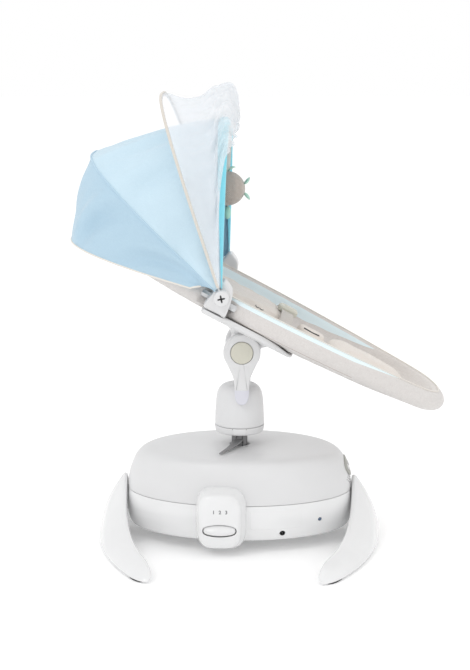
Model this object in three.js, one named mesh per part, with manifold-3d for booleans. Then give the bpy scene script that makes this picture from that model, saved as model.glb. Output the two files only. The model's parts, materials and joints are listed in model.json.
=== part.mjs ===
// A powered baby swing: an oval base on two crescent legs, a swaying column that turns and reclines,
// a fabric sling seat on a tube frame, and a folding canopy with a mosquito net and a plush toy.
// Millimetres, +Z up, +X towards the foot end of the seat. The origin is on the floor, under the middle
// of the whole swing.
import * as THREE from 'three';
import Module from 'manifold-3d';
import { mergeVertices } from 'three/addons/utils/BufferGeometryUtils.js';

const wasm = await Module();
wasm.setup();

// ---- Driving dimensions ----
const GAP = 0.3; // left between pieces that touch
const PLAY = 0.4; // left around pieces that slide or turn
const COLUMN_X = -37.5; // from the middle of the whole swing to the column

const BASE_LENGTH = 442;
const BASE_WIDTH = 286;
const BASE_WALL = 3;
const BASE_BOTTOM = 25; // underside above the floor
const SEAM_HEIGHT = 97; // where the dome meets the lower shell
const DOME_RISE = 87; // dome top above the seam

const LEG_REACH = BASE_LENGTH / 2 + 55; // column axis to the outer edge of a leg
const LEG_ARC = 536; // plan radius of a leg's outer edge
const LEG_TIP = 319; // column axis to a leg's tip, sideways
const LEG_PEAK = 120; // top of a leg, beside the dome
const LEG_INSET = 54; // how far a leg leans in over its own foot
const LEG_THICK = 20;
const PAD_THICK = 2.5; // rubber under the tips

const SHAFT_R = 10;
const NECK_R = 15.5; // grey ribbed sleeve
const NECK_RIBS = 8;
const COLLAR_R = 48.5;
const COLLAR_BASE = 210;
const COLLAR_HEIGHT = 15;
const HOUSING_HEIGHT = 84;
const HOUSING_WALL = 3.5;

const PIVOT_X = 6; // recline axle, from the column axis
const PIVOT_Z = 379;
const ARM_R = 36;
const ARM_NECK = 28; // width of the arm where its tip starts
const ARM_TIP_DROP = 75; // axle down to the grey tip
const ARM_DROP = 103; // axle down to the end of the tip
const ARM_INNER = 42; // half the space between the two arms
const ARM_THICK = 20;
const BUTTON_R = 21.5;
const BUTTON_TRAVEL = 2.5;
const AXLE_R = 6;

const SEAT_TILT = THREE.MathUtils.degToRad(27.5);
const SEAT_HEAD = -353; // rim ends, measured along the seat from the axle
const SEAT_FOOT = 377;
const SEAT_HALF = 150; // half the width over the fabric at its widest
const RIM_HEIGHT = 104; // rim crest above the axle, square to the seat
const SADDLE_THICK = 4.5;
const SADDLE_FLOOR = ARM_R + SADDLE_THICK + 1.5; // inside of the carrier's saddle
const SLING_BOTTOM = SADDLE_FLOOR + 5;
const SLING_THICK = 9;
const TUBE_R = 7.5;
const TUBE_OUT = 10.5; // tube centre outside the sling
const TUBE_HEIGHT = 88;

const BRACKET_ALONG = -90.7; // canopy pivot, along the seat from the axle
const BRACKET_HEIGHT = 102.7; // canopy pivot above the axle
const BRACKET_INNER = SEAT_HALF + 1;
const BRACKET_OUTER = 190;
const BOSS_R = 13.7;
const BOSS_FACE = BRACKET_OUTER + 30; // column axis to the outer face of a boss cap
const PIN_R = 3;

const ROD_R = 1.8; // canopy bows
const HUB_R = 9;
const HUB_THICK = 3.5;
const ARCH_POWER = 3; // how square the bows' arches are
const REAR_BOW = { angle: 163.2, rise: 345, half: BRACKET_OUTER + 6.2 };
const FRONT_BOW = { angle: 117.5, rise: 303, half: BRACKET_OUTER + 2.2 };
const NET_BOW = { angle: 136, rise: 373, half: BRACKET_OUTER + 14.7 };
const HEM_ANGLE = 191; // lower rear edge of the canopy
const HEM_RISE = 306;
const CLOTH = 2;

// ---- Finishes ----
const finish = (color, roughness, metalness = 0) =>
  new THREE.MeshStandardMaterial({ color, roughness, metalness });
const WHITE_SATIN = finish(0xf1f1f0, 0.45);
const WHITE_GLOSS = finish(0xf7f7f6, 0.22);
const GREY_PLASTIC = finish(0x8c8c8c, 0.45);
const PANEL_GREY = finish(0xa8a8a2, 0.5);
const BEIGE_PLASTIC = finish(0xcfcdbe, 0.55);
const TIP_GREY = finish(0xd6d6de, 0.5);
const RUBBER = finish(0x4a4a4a, 0.85);
const BLACK_PLASTIC = finish(0x161616, 0.4);
const STEEL = finish(0xb8babd, 0.3, 1);
const BRASS = finish(0xb99a55, 0.35, 1);
const BOARD_GREEN = finish(0x2f5d43, 0.6);
const LENS = finish(0x44586c, 0.15);
const SEAT_CLOTH = finish(0xe4e0dc, 0.9);
const CUSHION_CLOTH = finish(0xe6ded6, 0.95);
const BLUE_CLOTH = finish(0xc0dced, 0.85);
const NET_CLOTH = finish(0xf2f0f8, 0.9);
const BELT_CLOTH = finish(0xcfc8c0, 0.9);
const TOY_CLOTH = finish(0xb3a99b, 0.95);
const MINT = finish(0xa9e0cf, 0.6);

// ---- Building blocks ----
const group = new THREE.Group();
const swing = new THREE.Group();
swing.position.x = COLUMN_X;
group.add(swing);
const seat = new THREE.Group(); // x along the seat to the foot, y sideways, z square to the seat
seat.position.set(PIVOT_X, 0, PIVOT_Z);
seat.rotation.y = SEAT_TILT;
swing.add(seat);

function place(name, geometry, material, parent = swing) {
  const mesh = new THREE.Mesh(geometry, material);
  mesh.name = name;
  parent.add(mesh);
}

function closedGeometry(points, faces) {
  const volume = ([a, b, c]) => points[a].dot(points[b].clone().cross(points[c]));
  const signed = faces.reduce((sum, face) => sum + volume(face), 0);
  const geometry = new THREE.BufferGeometry().setFromPoints(points);
  geometry.setIndex(faces.flatMap(([a, b, c]) => (signed > 0 ? [a, b, c] : [a, c, b])));
  return geometry;
}

const quad = (a, b, c, d) => [[a, b, c], [a, c, d]];

// A solid through closed rings of points, with both ends closed by fans
function loft(rings) {
  const n = rings[0].length;
  const points = rings.flat();
  const faces = [];
  for (let i = 0; i + 1 < rings.length; i++) {
    for (let j = 0; j < n; j++) {
      const k = (j + 1) % n;
      faces.push(...quad(i * n + j, i * n + k, (i + 1) * n + k, (i + 1) * n + j));
    }
  }
  const last = (rings.length - 1) * n;
  for (const [start, ring, inwards] of [[0, rings[0], true], [last, rings.at(-1), false]]) {
    const middle = points.length;
    points.push(ring.reduce((sum, p) => sum.add(p), new THREE.Vector3()).divideScalar(n));
    for (let j = 0; j < n; j++) {
      const pair = [start + j, start + ((j + 1) % n)];
      faces.push(inwards ? [middle, pair[1], pair[0]] : [middle, pair[0], pair[1]]);
    }
  }
  return closedGeometry(points, faces);
}

// A thin wall between an outer and an inner grid of points; its columns may run right round
function wall(outer, inner, round) {
  const rows = outer.length;
  const n = outer[0].length;
  const points = [...outer.flat(), ...inner.flat()];
  const at = (side, i, j) => (side * rows + i) * n + (j % n);
  const faces = [];
  const across = round ? n : n - 1;
  for (let i = 0; i + 1 < rows; i++) {
    for (let j = 0; j < across; j++) {
      faces.push(...quad(at(0, i, j), at(0, i, j + 1), at(0, i + 1, j + 1), at(0, i + 1, j)));
      faces.push(...quad(at(1, i, j), at(1, i + 1, j), at(1, i + 1, j + 1), at(1, i, j + 1)));
    }
  }
  for (let j = 0; j < across; j++) {
    faces.push(...quad(at(0, 0, j), at(1, 0, j), at(1, 0, j + 1), at(0, 0, j + 1)));
    const i = rows - 1;
    faces.push(...quad(at(0, i, j), at(0, i, j + 1), at(1, i, j + 1), at(1, i, j)));
  }
  for (let i = 0; i + 1 < rows && !round; i++) {
    faces.push(...quad(at(0, i, 0), at(0, i + 1, 0), at(1, i + 1, 0), at(1, i, 0)));
    const j = n - 1;
    faces.push(...quad(at(0, i, j), at(1, i, j), at(1, i + 1, j), at(0, i + 1, j)));
  }
  return closedGeometry(points, faces);
}

function solidOf(geometry) {
  const bare = geometry.clone();
  bare.deleteAttribute('normal');
  bare.deleteAttribute('uv');
  const merged = mergeVertices(bare, 1e-4);
  return new wasm.Manifold(new wasm.Mesh({
    numProp: 3,
    vertProperties: Float32Array.from(merged.attributes.position.array),
    triVerts: Uint32Array.from(merged.index.array),
  }));
}

function geometryOf(solid) {
  const mesh = solid.getMesh();
  const geometry = new THREE.BufferGeometry();
  geometry.setAttribute('position', new THREE.BufferAttribute(mesh.vertProperties, 3));
  geometry.setIndex(new THREE.BufferAttribute(mesh.triVerts, 1));
  return geometry;
}

const cut = (geometry, ...tools) =>
  geometryOf(tools.reduce((solid, tool) => solid.subtract(solidOf(tool)), solidOf(geometry)));
const join = (geometry, ...others) =>
  geometryOf(others.reduce((solid, other) => solid.add(solidOf(other)), solidOf(geometry)));
const common = (a, b) => geometryOf(solidOf(a).intersect(solidOf(b)));

const boxBetween = (low, high) =>
  new THREE.BoxGeometry(high[0] - low[0], high[1] - low[1], high[2] - low[2])
    .translate((low[0] + high[0]) / 2, (low[1] + high[1]) / 2, (low[2] + high[2]) / 2);

// Upright round piece: its profile is radius and height pairs that start and end on the axis, or close
const turned = (profile, sides = 20) =>
  new THREE.LatheGeometry(profile.map(([r, z]) => new THREE.Vector2(r, z)), sides).rotateX(Math.PI / 2);
const rod = (radius, low, high, sides = 16) =>
  turned([[0, low], [radius, low], [radius, high], [0, high]], sides);
const ringPiece = (inner, outer, low, high, sides = 20) =>
  turned([[inner, low], [outer, low], [outer, high], [inner, high], [inner, low]], sides);
const alongY = (geometry) => geometry.rotateX(-Math.PI / 2);
const alongX = (geometry) => geometry.rotateY(Math.PI / 2);

// An outline in the x-z plane made solid between two sideways places
function slab(shape, from, to, edge = 0) {
  const depth = to - from - 2 * edge;
  const bevel = { bevelThickness: edge, bevelSize: edge, bevelOffset: -edge, bevelSegments: 1 };
  return new THREE.ExtrudeGeometry(shape, { depth, curveSegments: 6, bevelEnabled: edge > 0, ...bevel })
    .rotateX(Math.PI / 2)
    .translate(0, to - edge, 0);
}

function tubeAlong(curve, radius, steps, sides = 8) {
  const section = new THREE.Shape();
  for (let i = 0; i < sides; i++) {
    const turn = (2 * Math.PI * i) / sides;
    const move = i === 0 ? 'moveTo' : 'lineTo';
    section[move](radius * Math.cos(turn), radius * Math.sin(turn));
  }
  return new THREE.ExtrudeGeometry(section, { steps, extrudePath: curve, bevelEnabled: false });
}

function roundedOutline(halfX, halfZ, corner) {
  const shape = new THREE.Shape();
  shape.absarc(halfX - corner, halfZ - corner, corner, 0, Math.PI / 2);
  shape.absarc(corner - halfX, halfZ - corner, corner, Math.PI / 2, Math.PI);
  shape.absarc(corner - halfX, corner - halfZ, corner, Math.PI, 1.5 * Math.PI);
  shape.absarc(halfX - corner, corner - halfZ, corner, 1.5 * Math.PI, 2 * Math.PI);
  return shape;
}

// An oval ring; power 2 is an ellipse and more is squarer
function oval(halfX, halfY, z, sides, power = 2) {
  return Array.from({ length: sides }, (_, i) => {
    const turn = (2 * Math.PI * i) / sides;
    const c = Math.cos(turn);
    const s = Math.sin(turn);
    return new THREE.Vector3(
      halfX * Math.sign(c) * Math.abs(c) ** (2 / power),
      halfY * Math.sign(s) * Math.abs(s) ** (2 / power),
      z,
    );
  });
}

// ---- Base ----
const BASE_SIDES = 36;
const baseX = BASE_LENGTH / 2;
const baseY = BASE_WIDTH / 2;
const domeTop = SEAM_HEIGHT + DOME_RISE;
const neckHole = NECK_R + 8.5;
const bearingDepth = 34;

// Rings of the dome from the seam up: inset along, inset across, share of the rise
const DOME_CURVE = [[0, 0, 0], [1, 0.5, 0.24], [9, 4, 0.55], [17, 7.5, 0.76], [30, 13, 0.9], [50, 26, 0.96],
  [90, 56, 0.99]];
// Rings of the band from the seam down: inset along, inset across, share of the drop
const BAND_CURVE = [[0, 0, 0], [-3, -3, 0.3], [0, 0, 0.62], [6, 6, 0.84], [13, 13, 0.95], [24, 24, 1]];

const domeRings = (out, lift = 0) =>
  DOME_CURVE.map(([x, y, up]) =>
    oval(baseX - x + out, baseY - y + out, SEAM_HEIGHT + Math.max(GAP, DOME_RISE * up + lift), BASE_SIDES));
const bandRings = (out, lift = 0) =>
  BAND_CURVE.map(([x, y, down]) =>
    oval(baseX - x + out, baseY - y + out,
      SEAM_HEIGHT - Math.max(GAP, (SEAM_HEIGHT - BASE_BOTTOM) * down - lift), BASE_SIDES));

// The whole base as one block, grown by a clearance, for pieces that seat on it
const baseBlock = (out) => loft([...bandRings(out, -out).reverse(), ...domeRings(out, out)]);

function baseTopCover() {
  const lip = (r, z) => oval(r, r, z, BASE_SIDES);
  const outer = [...domeRings(0), lip(neckHole + BASE_WALL, domeTop), lip(neckHole, domeTop - 1),
    lip(neckHole, domeTop - bearingDepth)];
  const inner = [...domeRings(-BASE_WALL, -BASE_WALL), lip(neckHole + 2 * BASE_WALL, domeTop - BASE_WALL),
    lip(neckHole + BASE_WALL, domeTop - BASE_WALL - 1), lip(neckHole + BASE_WALL, domeTop - bearingDepth)];
  const keyHoles = PANEL_KEYS.map((y) => towardsFoot(KEY_R + 1, y, PANEL.z, 150, 300));
  return cut(wall(outer, inner, true), ...keyHoles);
}

function baseLowerShell() {
  const inner = bandRings(-BASE_WALL, BASE_WALL).filter((_, i) => i % 2 === 0 || i === BAND_CURVE.length - 1);
  const tray = loft([...bandRings(0).reverse(), ...inner]);
  const seatPost = ringPiece(SHAFT_R + 7, SHAFT_R + 11, BASE_BOTTOM + 1, BASE_BOTTOM + 32);
  return cut(join(tray, seatPost), jackBore());
}

const JACK = { x: 86, z: 42, r: 4.6, depth: 9 };
const jackY = -baseY * Math.sqrt(1 - (JACK.x / baseX) ** 2) + 2;
const inJackPlace = (geometry) =>
  geometry.rotateZ(0.32).translate(JACK.x, jackY, JACK.z);
const jackBore = () => inJackPlace(alongY(rod(JACK.r + GAP, -14, 14, 16)));

function dcJack() {
  const { r, depth } = JACK;
  const back = depth / 2;
  return inJackPlace(alongY(turned([[0, -1], [1.2, -1], [1.2, back - 1], [r - 1.6, back - 1], [r - 1.6, -back],
    [r, -back], [r, back], [0, back]], 16)));
}

// A crescent leg: its outer edge follows an arc on the floor, and it rises to a peak beside the dome
function leg(side) {
  const reach = Math.asin(LEG_TIP / LEG_ARC);
  const stations = 18;
  const rings = [];
  for (let i = 0; i <= stations; i++) {
    const turn = reach * Math.sin((Math.PI / 2) * (-1 + (2 * i) / stations));
    const along = Math.abs(turn) * LEG_ARC;
    const nearTip = Math.max(0, (along - LEG_TIP + 30) / (reach * LEG_ARC - LEG_TIP + 30));
    const full = Math.sqrt(Math.max(0.02, 1 - nearTip ** 2));
    const height = 27 + (LEG_PEAK - 27) * Math.exp(-Math.hypot(along, 10) / 78 + 10 / 78);
    const inset = LEG_INSET * (1 - 0.45 * Math.min(1, along / LEG_TIP) ** 3);
    const thick = Math.min(LEG_THICK, inset * 0.8);
    const section = [[0, 0], [0.08, 0.3], [0.25, 0.5], [0.5, 0.72], [0.82, 0.93]]
      .map(([q, z]) => [q * inset, z * height]);
    section.push([0.95 * inset, height], [inset, 0.95 * height]);
    section.push([inset, 0.82 * height], [Math.max(thick, 0.72 * inset), 0.5 * height]);
    section.push([Math.max(thick, 0.5 * inset), 0.2 * height], [thick, 0]);
    const midQ = inset * 0.5;
    rings.push(section.map(([q, z]) => {
      const r = LEG_ARC - midQ - (q - midQ) * full;
      const x = LEG_REACH - LEG_ARC + r * Math.cos(turn);
      return new THREE.Vector3(side * x, r * Math.sin(turn), PAD_THICK + GAP + z * Math.max(0.35, full));
    }));
  }
  return cut(loft(rings), baseBlock(GAP));
}

function legPad(side, front) {
  const turn = Math.asin((LEG_TIP - 32) / LEG_ARC) * front;
  const r = LEG_ARC - 12;
  const pad = loft([0, PAD_THICK].map((z) => oval(8, 22, z, 20)))
    .rotateZ(turn)
    .translate(LEG_REACH - LEG_ARC + r * Math.cos(turn), r * Math.sin(turn), 0);
  return side < 0 ? flipped(pad.scale(-1, 1, 1)) : pad;
}

// ---- Selector pod on the front of the base ----
const POD = { x: -33, z: 75, halfWidth: 42, halfHeight: 54, front: -baseY - 31, flare: 7 };
const PADDLE = { z: POD.z - 17, halfWidth: 31.5, halfHeight: 12, out: 9 };

function podBody() {
  const depths = [[POD.front + 45, POD.flare], [POD.front + 24, POD.flare * 0.8], [POD.front + 11, 1.5],
    [POD.front + 4, -1], [POD.front + 1, -5], [POD.front, -12]];
  const rings = depths.map(([y, grow]) =>
    oval(POD.halfWidth + grow, POD.halfHeight + grow, 0, 24, 3.6).map((p) =>
      new THREE.Vector3(POD.x + p.x + Math.max(0, grow) * 0.4, y, POD.z + p.y)));
  return loft(rings);
}

const lens = (grow) =>
  new THREE.SphereGeometry(1, 18, 9)
    .scale(PADDLE.halfWidth + grow, PADDLE.out * 2 + grow, PADDLE.halfHeight + grow)
    .translate(POD.x, POD.front + PADDLE.out, PADDLE.z);

const selectorPod = () => cut(podBody(), baseBlock(GAP), lens(PLAY + 1.6));
const selectorPaddle = () => lens(0);

// ---- Small pieces on the base ----
const skin = (from, to) => cut(baseBlock(to), baseBlock(from));

const DOOR = { x: 74, z: 70, halfWidth: 46, halfHeight: 20 };
function batteryDoor() {
  const outline = slab(roundedOutline(DOOR.halfWidth, DOOR.halfHeight, 5), -200, 0).translate(DOOR.x, 0, DOOR.z);
  return common(skin(GAP, GAP + 1.4), outline);
}

const LIGHT = { x: 156, z: 62, r: 4 };
function statusLight() {
  const post = alongY(rod(LIGHT.r, 0, 200, 16)).scale(1, -1, 1).translate(LIGHT.x, 0, LIGHT.z);
  return common(skin(GAP, GAP + 1.2), flipped(post));
}

// A mirrored geometry's faces turned the right way out again
function flipped(geometry) {
  const bare = geometry.clone();
  bare.deleteAttribute('normal');
  bare.deleteAttribute('uv');
  const merged = mergeVertices(bare, 1e-4);
  const index = merged.index.array;
  for (let i = 0; i < index.length; i += 3) {
    [index[i], index[i + 1]] = [index[i + 1], index[i]];
  }
  return merged;
}

const PANEL = { z: 142, halfWidth: 42, halfHeight: 19 };
const PANEL_KEYS = [-15, 15];
const KEY_R = 6;
const panelThick = 1.6;
const keyOut = 1.4;

const towardsFoot = (radius, y, z, from, to) => alongX(rod(radius, from, to, 20)).translate(0, y, z);

function controlPanel() {
  const section = new THREE.Shape();
  section.absellipse(0, 0, PANEL.halfHeight, PANEL.halfWidth, 0, 2 * Math.PI);
  const post = new THREE.ExtrudeGeometry(section, { depth: 120, curveSegments: 12, bevelEnabled: false });
  const placed = alongX(post).translate(150, 0, PANEL.z);
  const keys = PANEL_KEYS.map((y) => towardsFoot(KEY_R + PLAY, y, PANEL.z, 150, 300));
  return cut(common(skin(GAP, GAP + panelThick), placed), ...keys);
}

const panelKey = (y) =>
  common(skin(GAP, GAP + panelThick + keyOut), towardsFoot(KEY_R, y, PANEL.z, 150, 300));

// ---- Drive, inside the base ----
const MODULE = 2;
const PINION_TEETH = 12;
const SECTOR_TEETH = 60; // on the full circle
const GEAR_LOW = 104;
const GEAR_THICK = 8;
const gearCentre = (MODULE * (PINION_TEETH + SECTOR_TEETH)) / 2;
const TOOTH = 0.75; // tooth height above and below the pitch circle, in modules

function toothedOutline(teeth, from, count, tip) {
  const pitch = (MODULE * teeth) / 2;
  const step = (2 * Math.PI) / teeth;
  const at = (r, turn) => new THREE.Vector2(r * Math.cos(turn), r * Math.sin(turn));
  const points = [];
  for (let i = 0; i < count; i++) {
    const middle = from + i * step;
    points.push(at(pitch - tip, middle - 0.24 * step), at(pitch + tip, middle - 0.13 * step));
    points.push(at(pitch + tip, middle + 0.13 * step), at(pitch - tip, middle + 0.24 * step));
  }
  return points;
}

function pinion() {
  const outline = toothedOutline(PINION_TEETH, Math.PI / PINION_TEETH, PINION_TEETH, TOOTH * MODULE);
  const gear = new THREE.ExtrudeGeometry(new THREE.Shape(outline), { depth: GEAR_THICK, bevelEnabled: false });
  const bore = rod(2 + PLAY / 4, -1, GEAR_THICK + 1, 16);
  return cut(gear, bore).translate(-gearCentre, 0, GEAR_LOW);
}

function sectorGear() {
  const count = 19;
  const step = (2 * Math.PI) / SECTOR_TEETH;
  const first = Math.PI - ((count - 1) / 2) * step;
  const outline = toothedOutline(SECTOR_TEETH, first, count, TOOTH * MODULE);
  const hub = SHAFT_R + 8;
  const flank = 1.2; // where the sector's sides meet its hub, from its middle
  for (let i = 0; i <= 12; i++) {
    const turn = Math.PI + flank + (i / 12) * 2 * (Math.PI - flank);
    outline.push(new THREE.Vector2(hub * Math.cos(turn), hub * Math.sin(turn)));
  }
  const gear = new THREE.ExtrudeGeometry(new THREE.Shape(outline), { depth: GEAR_THICK, bevelEnabled: false });
  return cut(gear, rod(SHAFT_R + GAP, -1, GEAR_THICK + 1)).translate(0, 0, GEAR_LOW);
}

function driveMotor() {
  const can = turned([[0, BASE_BOTTOM + 4], [19, BASE_BOTTOM + 4], [19, GEAR_LOW - 14], [8, GEAR_LOW - 13],
    [8, GEAR_LOW - 6], [2, GEAR_LOW - 6], [2, GEAR_LOW + GEAR_THICK + 3], [0, GEAR_LOW + GEAR_THICK + 3]]);
  return can.translate(-gearCentre, 0, 0);
}

const controlBoard = () => boxBetween([110, -45, BASE_BOTTOM + 22], [170, 45, BASE_BOTTOM + 24]);
const speaker = () =>
  alongX(turned([[0, 150], [12, 150], [14, 158], [26, 166], [26, 170], [0, 170]])).translate(0, 0, 112);

const lowerBearing = () => ringPiece(SHAFT_R + PLAY, SHAFT_R + 7 - GAP, BASE_BOTTOM + 12, BASE_BOTTOM + 31);
const upperBearing = () =>
  ringPiece(SHAFT_R + PLAY, neckHole - GAP, domeTop - bearingDepth + 2, domeTop - bearingDepth + 16);

// ---- Column ----
const collarTop = COLLAR_BASE + COLLAR_HEIGHT;
const housingTop = collarTop + HOUSING_HEIGHT;
const HEAD_R = 30; // turning head of the shaft, inside the housing

const swingShaft = () =>
  turned([[0, BASE_BOTTOM + 8], [SHAFT_R, BASE_BOTTOM + 8], [SHAFT_R, collarTop + 6], [HEAD_R, collarTop + 6],
    [HEAD_R, collarTop + 16], [0, collarTop + 16]]);

function neckSleeve() {
  const body = ringPiece(SHAFT_R + GAP, NECK_R, domeTop - 16, COLLAR_BASE + 4, 20);
  const slots = Array.from({ length: NECK_RIBS }, (_, i) =>
    boxBetween([NECK_R - 2, -1.4, domeTop - 10], [NECK_R + 2, 1.4, COLLAR_BASE - 2])
      .rotateZ((2 * Math.PI * (i + 0.5)) / NECK_RIBS));
  return cut(body, ...slots, leverWay());
}

const LATCH = { x: 1, top: 27, bottom: 23 };
function latchOutline(grow) {
  const shape = new THREE.Shape();
  const low = COLLAR_BASE + 1;
  shape.moveTo(LATCH.x - LATCH.top / 2 - grow, collarTop - 0.6 + grow);
  shape.lineTo(LATCH.x - LATCH.bottom / 2 - grow, low - grow);
  shape.lineTo(LATCH.x + LATCH.bottom / 2 + grow, low - grow);
  shape.lineTo(LATCH.x + LATCH.top / 2 + grow, collarTop - 0.6 + grow);
  return shape;
}

const collarBody = (out = 0) =>
  turned([[NECK_R + PLAY, COLLAR_BASE], [COLLAR_R - 7, COLLAR_BASE], [COLLAR_R - 2.5, COLLAR_BASE + 2],
    [COLLAR_R - 0.6 + out, COLLAR_BASE + 6], [COLLAR_R + out, collarTop - GAP], [COLLAR_R - 4, collarTop - GAP],
    [COLLAR_R - 4, COLLAR_BASE + 4.5], [NECK_R + PLAY, COLLAR_BASE + 4.5], [NECK_R + PLAY, COLLAR_BASE]], 32);

const collar = () => cut(collarBody(), slab(latchOutline(PLAY), -60, -30));
function collarLatch() {
  const band = ringPiece(COLLAR_R - 3.6, COLLAR_R + 0.4, COLLAR_BASE, collarTop, 64);
  return common(band, slab(latchOutline(0), -60, -30));
}

// The release lever: a curved, tapering blade that leaves the neck just above the dome
const leverZ = domeTop + 5;
const LEVER_THICK = 5;
function releaseLever() {
  const shape = new THREE.Shape();
  const root = 1 - NECK_R;
  shape.moveTo(-6, root);
  shape.quadraticCurveTo(-12, -50, -34, -76);
  shape.quadraticCurveTo(-24, -82, -18, -70);
  shape.quadraticCurveTo(5, -44, 6, root);
  return new THREE.ExtrudeGeometry(shape, { depth: LEVER_THICK, curveSegments: 6, bevelEnabled: false })
    .translate(0, 0, leverZ);
}
const leverWay = () =>
  boxBetween([-10.4, -NECK_R - 4, leverZ - PLAY], [10.4, 2 - SHAFT_R, leverZ + LEVER_THICK + PLAY]);

// The housing's outside from the collar up: radius and height
const HOUSING_CURVE = [[COLLAR_R, 0], [COLLAR_R - 0.8, 24], [COLLAR_R - 2, 46], [COLLAR_R - 4, 62],
  [COLLAR_R - 8, 71], [COLLAR_R - 17, 79], [COLLAR_R - 30, HOUSING_HEIGHT - 1.5]];
const housingRoof = 24; // solid top that carries the arms

function housingShell() {
  const outer = HOUSING_CURVE.map(([r, up]) => [r, collarTop + GAP + up]);
  const roof = HOUSING_HEIGHT - housingRoof;
  const inner = HOUSING_CURVE.filter(([, up]) => GAP + up < roof)
    .map(([r, up]) => [r - HOUSING_WALL, collarTop + GAP + up]);
  const innerTop = [inner.at(-1)[0], collarTop + roof];
  return turned([...outer, [0, outer.at(-1)[1]], [0, innerTop[1]], innerTop, ...inner.reverse(), outer[0]], 32);
}

function armOutline(grow = 0) {
  const r = ARM_R + grow;
  const half = ARM_NECK / 2 + grow;
  const leave = THREE.MathUtils.degToRad(-38);
  const shape = new THREE.Shape();
  shape.absarc(0, 0, r, leave, Math.PI - leave);
  shape.quadraticCurveTo(-half - 3, -52, -half, -ARM_TIP_DROP - grow);
  shape.lineTo(half, -ARM_TIP_DROP - grow);
  shape.quadraticCurveTo(half + 3, -52, r * Math.cos(leave), r * Math.sin(leave));
  return shape;
}

function tipOutline(grow = 0) {
  const half = ARM_NECK / 2 + grow;
  const shape = new THREE.Shape();
  shape.moveTo(-half, -ARM_TIP_DROP - GAP);
  shape.lineTo(1 - half, 12 - ARM_DROP);
  shape.quadraticCurveTo(2 - half, -ARM_DROP - grow, 0, -ARM_DROP - grow);
  shape.quadraticCurveTo(half - 2, -ARM_DROP - grow, half - 1, 12 - ARM_DROP);
  shape.lineTo(half, -ARM_TIP_DROP - GAP);
  return shape;
}

const armOuter = ARM_INNER + ARM_THICK;
const toPivot = (geometry) => geometry.translate(PIVOT_X, 0, PIVOT_Z);
const onSide = (side, shape, edge) =>
  side < 0 ? slab(shape, -armOuter, -ARM_INNER, edge) : slab(shape, ARM_INNER, armOuter, edge);

function arm(side) {
  const plate = onSide(side, armOutline(), 2.5);
  const bore = alongY(rod(AXLE_R + PLAY / 2, -armOuter - 5, armOuter + 5));
  const floor = armOuter - 4 - BUTTON_TRAVEL;
  const pocket = alongY(rod(BUTTON_R + PLAY, floor, armOuter + 5, 28));
  return toPivot(cut(plate, bore, mirrorY(pocket, side)));
}

const armTip = (side) => toPivot(onSide(side, tipOutline(), 1.5));
const discButton = (side) => {
  const top = armOuter + 1.2;
  const disc = turned([[0, top - 4], [BUTTON_R, top - 4], [BUTTON_R, top - 1.2], [BUTTON_R - 1.2, top], [0, top]], 28);
  return toPivot(mirrorY(alongY(disc), side));
};

function columnHousing() {
  const pockets = [-1, 1].flatMap((side) => [armOutline(GAP), tipOutline(GAP)].map((shape) =>
    toPivot(slab(shape, side < 0 ? -90 : ARM_INNER - GAP, side < 0 ? -ARM_INNER + GAP : 90))));
  return cut(housingShell(), ...pockets);
}

const reclineAxle = () => toPivot(alongY(rod(AXLE_R, -(armOuter - 6.8), armOuter - 6.8)));

// ---- Seat, in its own tilted frame ----
// The rim's outline: distance along the seat, share of the half width
const RIM_SHAPE = [[SEAT_FOOT, 0], [SEAT_FOOT - 9, 0.293], [SEAT_FOOT - 43, 0.533], [SEAT_FOOT - 142, 0.733],
  [130, 0.893], [0, 1], [-150, 0.987], [SEAT_HEAD + 85, 0.813], [SEAT_HEAD + 20, 0.493], [SEAT_HEAD, 0]];
const RIM = RIM_SHAPE.map(([x, share]) => [x, share * SEAT_HALF]);
const RIM_SIDES = 36;

const rimCurve = new THREE.CatmullRomCurve3(
  [...RIM, ...RIM.slice(1, -1).reverse().map(([x, y]) => [x, -y])].map(([x, y]) => new THREE.Vector3(x, y, 0)),
  true, 'centripetal');
const rimMiddle = (SEAT_HEAD + SEAT_FOOT) / 2;
const rimHalf = (SEAT_FOOT - SEAT_HEAD) / 2;

// The rim's outline drawn in by a distance, at a height above the axle
const rimRing = (inset, height) =>
  rimCurve.getPoints(RIM_SIDES).slice(0, -1).map(({ x, y }) =>
    new THREE.Vector3(rimMiddle + (x - rimMiddle) * (1 - inset / rimHalf), y * (1 - inset / SEAT_HALF), height));

function seatSling() {
  const floor = SLING_BOTTOM + SLING_THICK;
  return loft([rimRing(125, SLING_BOTTOM), rimRing(85, SLING_BOTTOM + 0.5), rimRing(48, SLING_BOTTOM + 5),
    rimRing(18, SLING_BOTTOM + 17), rimRing(3, TUBE_HEIGHT - 8), rimRing(0, TUBE_HEIGHT + 4),
    rimRing(5, RIM_HEIGHT), rimRing(11, RIM_HEIGHT - 3), rimRing(22, 84), rimRing(50, 63),
    rimRing(85, floor + 0.5), rimRing(125, floor)]);
}

function seatTube(head) {
  const ring = rimRing(-TUBE_OUT, TUBE_HEIGHT);
  const split = BRACKET_ALONG;
  const half = (points) => points.filter(({ x }) => (head ? x < split - 4 : x > split + 4));
  const upper = half(ring.filter(({ y }) => y >= 0)).sort((a, b) => (head ? b.x - a.x : a.x - b.x));
  const lower = half(ring.filter(({ y }) => y < 0)).sort((a, b) => (head ? a.x - b.x : b.x - a.x));
  const sideY = SEAT_HALF + TUBE_OUT - 0.5;
  const end = split + (head ? -1 : 1);
  const ends = [sideY, -sideY].map((y) => new THREE.Vector3(end, y, TUBE_HEIGHT));
  const curve = new THREE.CatmullRomCurve3([ends[0], ...upper, ...lower, ends[1]], false, 'centripetal');
  return tubeAlong(curve, TUBE_R, head ? 26 : 38, 7);
}

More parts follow.
